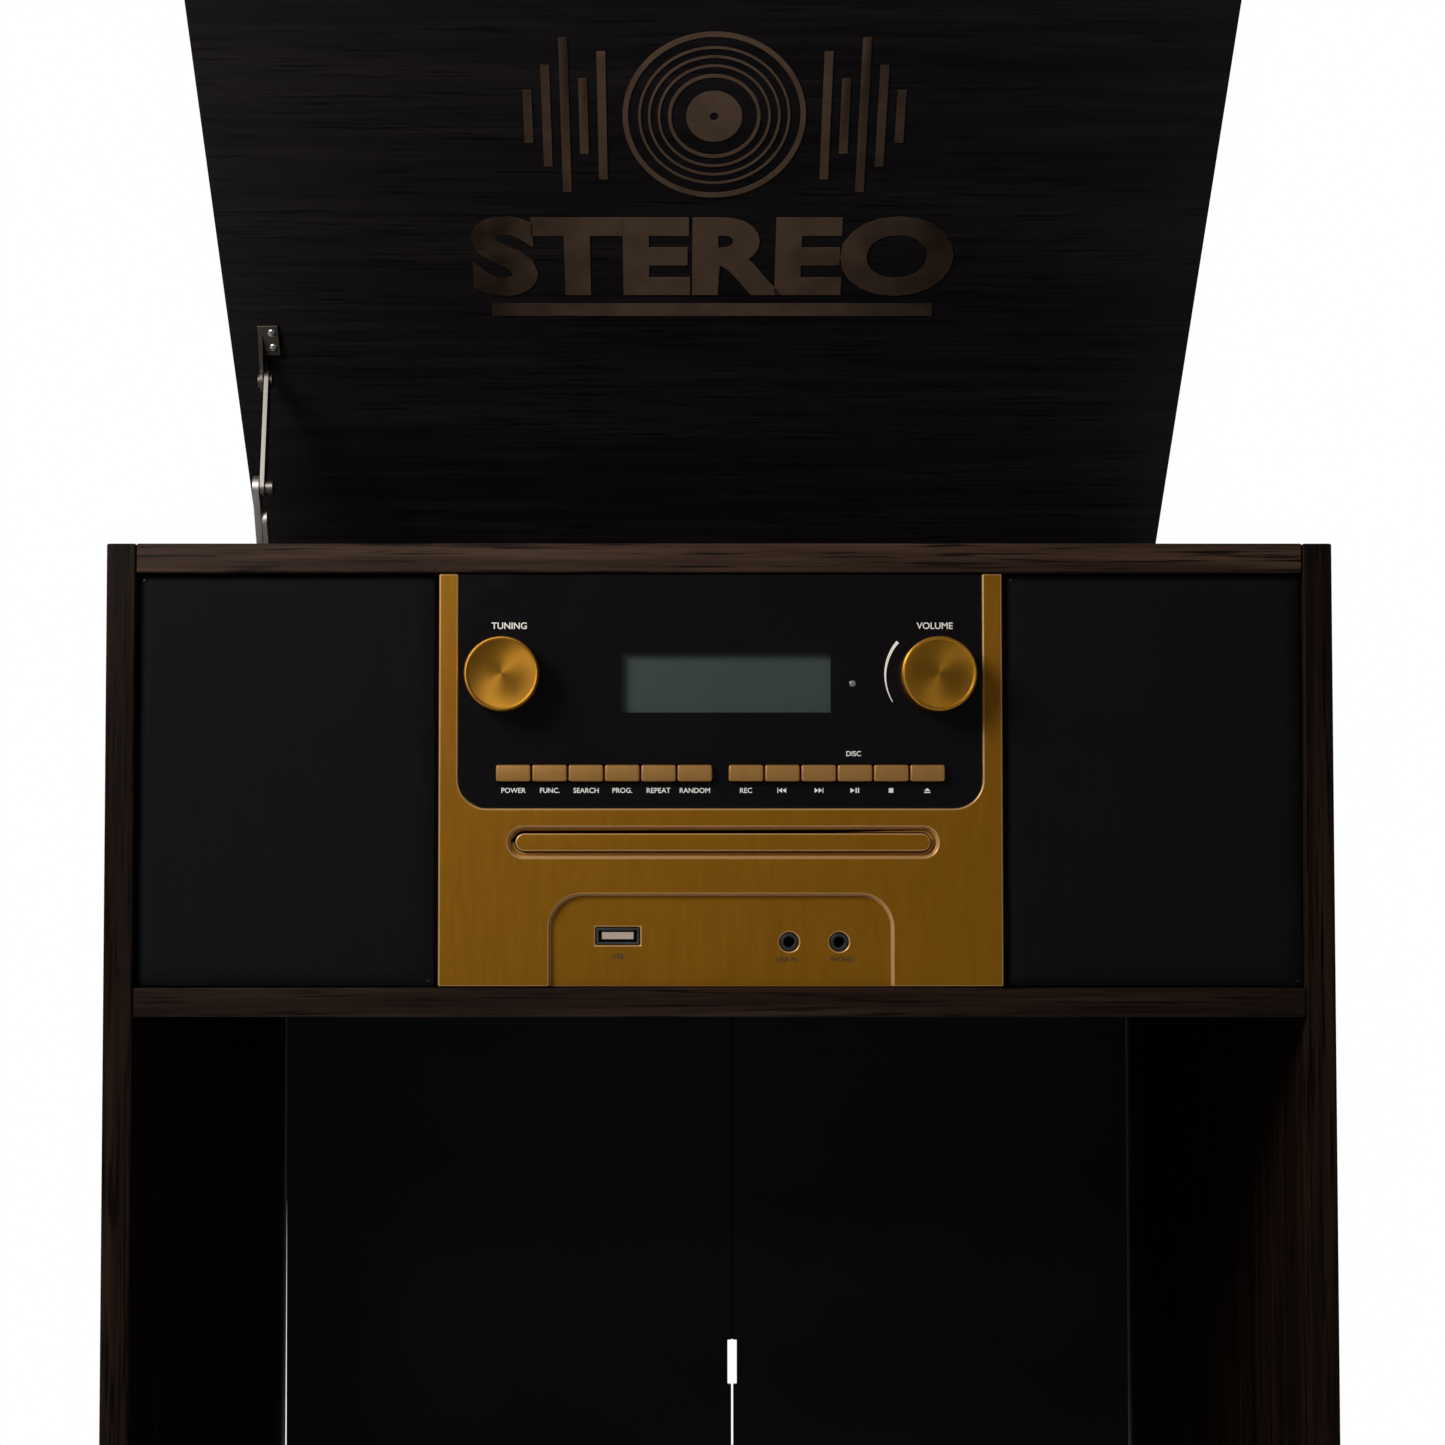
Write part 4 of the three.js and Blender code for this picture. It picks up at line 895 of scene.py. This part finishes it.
def makeLabels():
    prints = []
    for words, x, z, height in labelSet["panel"]:
        prints.append(lettering(words, mm(x, z, 0), mm(height), fat=0.012))
    for group, names in (("power", labelSet["first"]), ("record", labelSet["second"])):
        low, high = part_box("button_" + group)
        for index, words in enumerate(names):
            x = (low[0] + high[0]) / 2 * 1000 + index * labelSet["pitch"]
            if words in labelSet["symbols"]:
                prints.append(symbol(words, x, labelSet["row"]))
            else:
                prints.append(lettering(words, mm(x, labelSet["row"], 0), mm(labelSet["height"]), fat=0.012))
    prints.append(volumeArc(*labelSet["arcCentre"]))
    upright = [stood(piece, windowDepth - labelSet["lift"]) for piece in prints]
    finished(joined("windowPrint", upright), "cabinet", "window", "whitePrint")
    prints = [
        lettering(words, mm(x, z, 0), mm(height), fat=0.01) for words, x, z, height in labelSet["ports"]
    ]
    upright = [stood(piece, portDepth - labelSet["lift"]) for piece in prints]
    finished(joined("portPrint", upright), "cabinet", "gold_panel", "darkPrint")
    dome = [mm(0, 0.5), mm(1.1, 0.5), mm(1.1, -0.1), mm(0.7, -0.35), mm(0, -0.42)]
    sensorX, sensorZ = mm(*labelSet["sensor"])
    lens = spun("sensorDot", dome, (sensorX, windowDepth, sensorZ), "y", 24)
    soften(lens, 0)
    finished(lens, "cabinet", "window", "ledLens")


tongueSet = {"side": mm(1.9), "front": mm(0.7), "back": mm(1.5), "under": mm(1.6), "over": mm(1.3)}


# The disc tray, the sockets, and the boxes behind them
def makePorts():
    finished(refined("cd_tray", "discTray", mm(0.5), 2, 50, False), "tray", "gold_panel", "gold", "cd_tray")
    shell = refined("usb_port", "usbShell", mm(0.12), 1, 50)
    finished(shell, "cabinet", "bright_metal", "darkMetal", "usb_port")
    low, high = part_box("usb_port")
    tongueLow = (low[0] + tongueSet["side"], low[1] + tongueSet["front"], low[2] + tongueSet["under"])
    tongueHigh = (high[0] - tongueSet["side"], low[1] + tongueSet["back"], high[2] - tongueSet["over"])
    tongue = block("usbTongue", tongueLow, tongueHigh)
    soften(tongue, mm(0.15), 2)
    finished(tongue, "cabinet", "bright_metal", "tongue")
    for node in ("jack_line_in", "jack_headphone"):
        low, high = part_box(node)
        centre = ((low[0] + high[0]) / 2, low[1], (low[2] + high[2]) / 2)
        length = high[1] - low[1]
        outline = [
            (0, length), (mm(3), length), mm(3, 0.3), mm(2.75, 0), mm(2.1, 0), mm(1.8, 0.35), mm(1.8, 13),
            mm(0, 13),
        ]
        socket = spun(node.replace("jack_", "") + "Socket", outline, centre, "y", 40)
        soften(socket, 0)
        finished(socket, "cabinet", "black_moulding", "moulding", node)
    player = refined("cd_mechanism", "discPlayer", mm(0.8), 2)
    finished(player, "cabinet", "black_moulding", "moulding", "cd_mechanism")
    supply = refined("power_unit", "powerUnit", mm(0.8), 2, 60)
    finished(supply, "cabinet", "black_moulding", "moulding", "power_unit")


makeFascia()
for knobSide, knobFinish in knobSet["sides"].items():
    makeKnob(knobSide, *knobFinish)
makeLabels()
makePorts()
print("the radio front is made")


# Speakers, seen only with a grille off: one turned shape from the magnet's back to the cone's dust cap

def makeSpeaker(side):
    node = "speaker_" + side
    low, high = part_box(node)
    centre = ((low[0] + high[0]) / 2, low[1], (low[2] + high[2]) / 2)
    body = [
        (0, high[1] - low[1]), mm(21, 37.7), mm(22, 36.7), mm(22, 23.2), mm(19.5, 22.6), mm(33, 5.6),
        mm(38, 2.8), mm(38, 0.4), mm(37.6, 0), mm(35, 0), mm(34.4, 0.7), mm(33.4, 0.1), mm(31.6, 0.6),
        mm(11, 12.8), mm(10, 10.4), mm(6, 9.0), mm(0, 8.5),
    ]
    cone = spun(node + "Cone", body, centre, "y", 64)
    soften(cone, 0, limit=30)
    finished(cone, "cabinet", "speaker", "paper", node)


# Record player

platterSet = {"steps": 128, "metal": (0.55, 0.55, 0.54), "rough": 0.3, "ringWidth": 0.0008}


# The platter: a hollow turned dish with a grooved rim and its spindle, under a ribbed mat
def makePlatter():
    low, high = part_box("platter")
    centre = ((low[0] + high[0]) / 2, (low[1] + high[1]) / 2, 0)
    outline = [
        mm(0, 600), mm(3.2, 600), mm(3.55, 600.4), mm(3.55, 621), mm(14, 621), mm(14, 631), mm(66, 631),
        mm(66, 621.5), mm(70, 621.5), mm(70, 631), mm(108, 631), mm(108, 627), mm(113.4, 627),
        mm(114, 627.6), mm(114, 630), mm(113.5, 630.4), mm(113.5, 630.9), mm(114, 631.3), mm(114, 639.6),
        mm(113.6, 640.6), mm(112.4, 641), mm(110.6, 641), mm(110.2, 640.4), mm(3.55, 640.4),
        mm(3.55, 652.6), mm(3.1, 654.2), mm(1.8, 655), mm(0, 655),
    ]
    platter = spun("platterTurned", outline, centre, "z", platterSet["steps"])
    soften(platter, 0, limit=30)
    finishes["platter"] = spunMetal(
        "platterMetal", platterSet["metal"], platterSet["rough"], centre, "Z", platterSet["ringWidth"]
    )
    finished(platter, "platter", "platter_metal", "platter", "platter")

    rings = [mm(3.9, 640.5), mm(109.6, 640.5), mm(109.8, 641.6), mm(109.2, 642.3)]
    for radius in range(104, 56, -6):
        rings += [mm(radius + 0.9, 642.3), mm(radius + 0.5, 641.8)]
        rings += [mm(radius - 0.5, 641.8), mm(radius - 0.9, 642.3)]
    rings += [mm(50.6, 642.3), mm(50, 641.6), mm(5.2, 641.6), mm(3.9, 641.4)]
    mat = spun("platterMat", rings, centre, "z", 96, closed=True)
    soften(mat, 0, limit=30)
    finished(mat, "platter", "belt_rubber", "rubber")


armSet = {"edge": mm(0.5)}


def makeTurntable():
    deck = refined("turntable_deck", "deckMoulding", mm(0.8), 3, 50)
    finished(deck, "cabinet", "black_moulding", "moulding", "turntable_deck")
    makePlatter()
    finished(refined("motor", "motorCan", mm(0.5), 2, 50), "cabinet", "bright_metal", "screw", "motor")
    wheel = refined("motor_pulley", "pulleyWheel", mm(0.15), 1, 50)
    finished(wheel, "pulley", "pulley_brass", "brass", "motor_pulley")
    finished(refined("drive_belt", "driveBelt", 0), "cabinet", "belt_rubber", "rubber", "drive_belt")
    base = refined("tonearm_base", "armPedestal", mm(0.6), 2, 50)
    finished(base, "cabinet", "black_moulding", "moulding", "tonearm_base")
    yoke = refined("tonearm_yoke", "armYoke", armSet["edge"], 2, 50)
    finished(yoke, "yoke", "bright_metal", "arm", "tonearm_yoke")
    finished(refined("tonearm", "toneArm", mm(0.35), 2, 50), "arm", "bright_metal", "arm", "tonearm")
    finished(refined("cue_lever", "cueLever", mm(0.3), 2, 50), "cue", "bright_metal", "arm", "cue_lever")
    knob = refined("speed_selector", "speedKnob", mm(0.4), 2, 50)
    finished(knob, "speed", "black_moulding", "moulding", "speed_selector")
    makeCounterweight()
    makeHeadDetails()
    makeDeckMarks()


weightSet = {"ribs": 5, "firstRib": 2.5, "ribPitch": 1.4}


# The counterweight: a turned ring, ribbed round its front half to be gripped
def makeCounterweight():
    low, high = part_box("counterweight")
    centre = ((low[0] + high[0]) / 2, low[1], (low[2] + high[2]) / 2)
    outline = [mm(4.3, 0.4), mm(4.7, 0), mm(12.4, 0), mm(13, 0.6)]
    for step in range(weightSet["ribs"]):
        y = weightSet["firstRib"] + step * weightSet["ribPitch"]
        outline += [mm(13, y), mm(12.6, y + 0.35), mm(12.6, y + 0.7), mm(13, y + 1.05)]
    outline += [mm(13, 21.8), mm(11.8, 23.8), mm(11, 24), mm(4.7, 24), mm(4.3, 23.6)]
    weight = spun("armWeight", outline, centre, "y", 64, closed=True)
    soften(weight, 0, limit=24)
    finished(weight, "arm", "bright_metal", "darkMetal", "counterweight")


headSet = {
    "place": mm(148, -104, 660),
    "turn": -20,
    "body": (mm(-6.3, -24.3, -11.4), mm(6.3, -5.7, -4.6)),
    "lift": (mm(7.2, -22, -3.2), mm(15, -18.5, -2.3)),
    "liftTip": mm(3.5, 0, 2.4),
    "screws": (mm(-4, -15, -1.0), mm(4, -15, -1.0)),
}


# The pick-up body and its finger lift, built square to the arm and turned with the head
def makeHeadDetails():
    headTurn = Matrix.Translation(headSet["place"]) @ Matrix.Rotation(math.radians(headSet["turn"]), 4, "Z")
    body = block("pickUp", *headSet["body"])
    selectFaces(body, lambda centre, normal: normal.z < -0.9)
    bpy.ops.mesh.inset(thickness=mm(1.2), depth=mm(0.5))
    drop()
    soften(body, mm(0.5), 2)
    finished(moved(body, headTurn), "arm", "black_moulding", "moulding")
    lift = block("fingerLift", *headSet["lift"])
    selectFaces(lift, lambda centre, normal: normal.x > 0.9)
    bpy.ops.mesh.extrude_region_move(TRANSFORM_OT_translate={"value": headSet["liftTip"]})
    drop()
    soften(lift, mm(0.3), 2)
    finished(moved(lift, headTurn), "arm", "bright_metal", "arm")
    spots = [headTurn @ Vector(place) for place in headSet["screws"]]
    screwsAt("headScrews", spots, "up", "arm", "bright_metal", 0.45)


markSet = {
    "speeds": (("33", 161, -62), ("45", 178, -55), ("78", 193, -62)),
    "height": mm(3.2),
    "gap": mm(0.3),
    "lift": mm(0.012),
}


# The speeds, printed on the deck round the selector
def makeDeckMarks():
    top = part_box("speed_selector")[0][2] - markSet["gap"]
    flat = []
    for words, x, y in markSet["speeds"]:
        mark = lettering(words, (0, 0, 0), markSet["height"], fat=0.01)
        flat.append(moved(mark, Matrix.Translation((mm(x), mm(y), top + markSet["lift"]))))
    finished(joined("speedMarks", flat), "cabinet", "black_moulding", "whitePrint")


makeSpeaker("left")
makeSpeaker("right")
makeTurntable()
print("speakers and record player are made")


# Lid, hinges and stay

lidSet = {"edge": mm(0.8), "low": mm(-210, -180, 680.3), "high": mm(210, 180, 690.3)}


def makeLid():
    lid = block("lidBoard", lidSet["low"], lidSet["high"])
    soften(lid, lidSet["edge"], 3)
    finished(moved(lid, lidOpen), "lid", "dark_veneer", "lid", "lid_panel")


emblemSet = {
    "along": {"record": 274.3, "title": 208, "rule": 183},
    "hinge": (0, 180, 680.32),
    "across": 1,
    "firstBar": 46,
    "rings": ((37.6, 35.4), (31.2, 30.2), (27.2, 26.2), (23.2, 22.2), (19.0, 17.6)),
    "hub": (11.5, 1.8),
    "bars": (58, 34, 70, 46, 24),
    "barPitch": 7.6,
    "barWidth": 3.6,
    "word": {"text": "STEREO", "height": 39, "width": 206, "fat": 0.045},
    "rule": {"low": -4.6, "high": 1.6, "half": 95.5},
    "thick": 0.35,
}


def flatRing(name, outer, inner, thick):
    outline = [mm(inner, 0), mm(outer, 0), mm(outer, thick), mm(inner, thick)]
    return spun(name, outline, (0, 0, 0), "z", 72, closed=True)


# The lid's ornament: a record between rising sound bars, over one plain word and a rule.
# It is drawn with the hinge towards -y, turned over on to the lid's underside, and opened with it.
def makeEmblem():
    thick = emblemSet["thick"]
    drawn = [flatRing("emblemRing", outer, inner, thick) for outer, inner in emblemSet["rings"]]
    drawn.append(flatRing("emblemHub", *emblemSet["hub"], thick))
    for side in (-1, 1):
        for index, height in enumerate(emblemSet["bars"]):
            x = side * (emblemSet["firstBar"] + index * emblemSet["barPitch"])
            half = emblemSet["barWidth"] / 2
            low = mm(x - half, -height / 2, 0)
            high = mm(x + half, height / 2, thick)
            drawn.append(block("emblemBar", low, high))
    emblem = joined("lidEmblem", drawn)
    word = emblemSet["word"]
    size = (mm(word["height"]), mm(word["width"]), mm(thick))
    title = lettering(word["text"], (0, 0, mm(thick / 2)), *size, word["fat"])
    rule = emblemSet["rule"]
    line = block("emblemRule", mm(-rule["half"], rule["low"], 0), mm(rule["half"], rule["high"], thick))
    for piece, part in ((emblem, "record"), (title, "title"), (line, "rule")):
        moved(piece, Matrix.Translation(mm(emblemSet["across"], emblemSet["along"][part], 0)))
    emblem = joined("lidEmblem", [emblem, title, line])
    turned = Matrix.Translation(mm(*emblemSet["hinge"])) @ Matrix.Rotation(math.pi, 4, "X")
    moved(emblem, lidOpen @ turned)
    soften(emblem, mm(0.08), 1, 60)
    finished(emblem, "lid", "gold_panel", "emblem")


hingeSet = {
    "sides": (("left", -130), ("right", 130)),
    "edge": mm(0.2),
    "screws": (-17, 0, 17),
    "face": 181.5,
    "caseRow": 664,
    "lidRow": 686.9,
}


def makeHinges():
    edge = hingeSet["edge"]
    for side, centreX in hingeSet["sides"]:
        leaf = refined("hinge_leaf_lid_" + side, "lidLeaf" + side.title(), edge, 1, 50)
        finished(leaf, "lid", "hinge_steel", "steel", "hinge_leaf_lid_" + side)
        leaf = refined("hinge_leaf_case_" + side, "caseLeaf" + side.title(), edge, 1, 50)
        finished(leaf, "cabinet", "hinge_steel", "steel", "hinge_leaf_case_" + side)
        spots = [mm(centreX + x, hingeSet["face"], hingeSet["caseRow"]) for x in hingeSet["screws"]]
        screwsAt("caseLeafScrews" + side.title(), spots, "back", "cabinet", size=0.9)
        spots = [mm(centreX + x, hingeSet["face"], hingeSet["lidRow"]) for x in hingeSet["screws"]]
        screwsAt("lidLeafScrews" + side.title(), spots, "back", "lid", size=0.75, extra=lidOpen)


staySet = {"edge": mm(0.3), "screwsAcross": -191.2, "screwsAlong": (9.5, 17), "screwsFace": 678.4}


def makeStay():
    # The stay is one steel: the lid bracket's darker colour is painted shade, the lower arm's paler colour
    # painted light
    strips = {
        "stay_lid_bracket": ("lid", "dullSteel"),
        "stay_upper_arm": ("stay_upper", "steel"),
        "stay_lower_arm": ("stay_lower", "paleSteel"),
    }
    for node, (body, finish) in strips.items():
        piece = refined(node, node.replace("_", "") + "Strip", staySet["edge"], 2, 50)
        finished(piece, body, "hinge_steel", finish, node)
    spots = [mm(staySet["screwsAcross"], y, staySet["screwsFace"]) for y in staySet["screwsAlong"]]
    screwsAt("bracketScrews", spots, "down", "lid", size=0.6, extra=lidOpen)


makeLid()
makeEmblem()
makeHinges()
makeStay()
print("lid, hinges and stay are made")


# Floor

# A plain pale slab, wide enough for the object's shadow
def makeFloor():
    half = surroundSet["floorHalf"]
    floor = block("floor", (-half, -half, -0.02), (half, half, 0))
    soften(floor, mm(4), 2)
    finishes["floor"] = textured("paleFloor", surroundSet["floorColor"], (0.55, 0.7), grain=300.0, drift=0.02)
    floor.data.materials.append(finishes["floor"])


makeFloor()
bpy.data.objects.remove(screwMaster)

print("all pieces are finished")
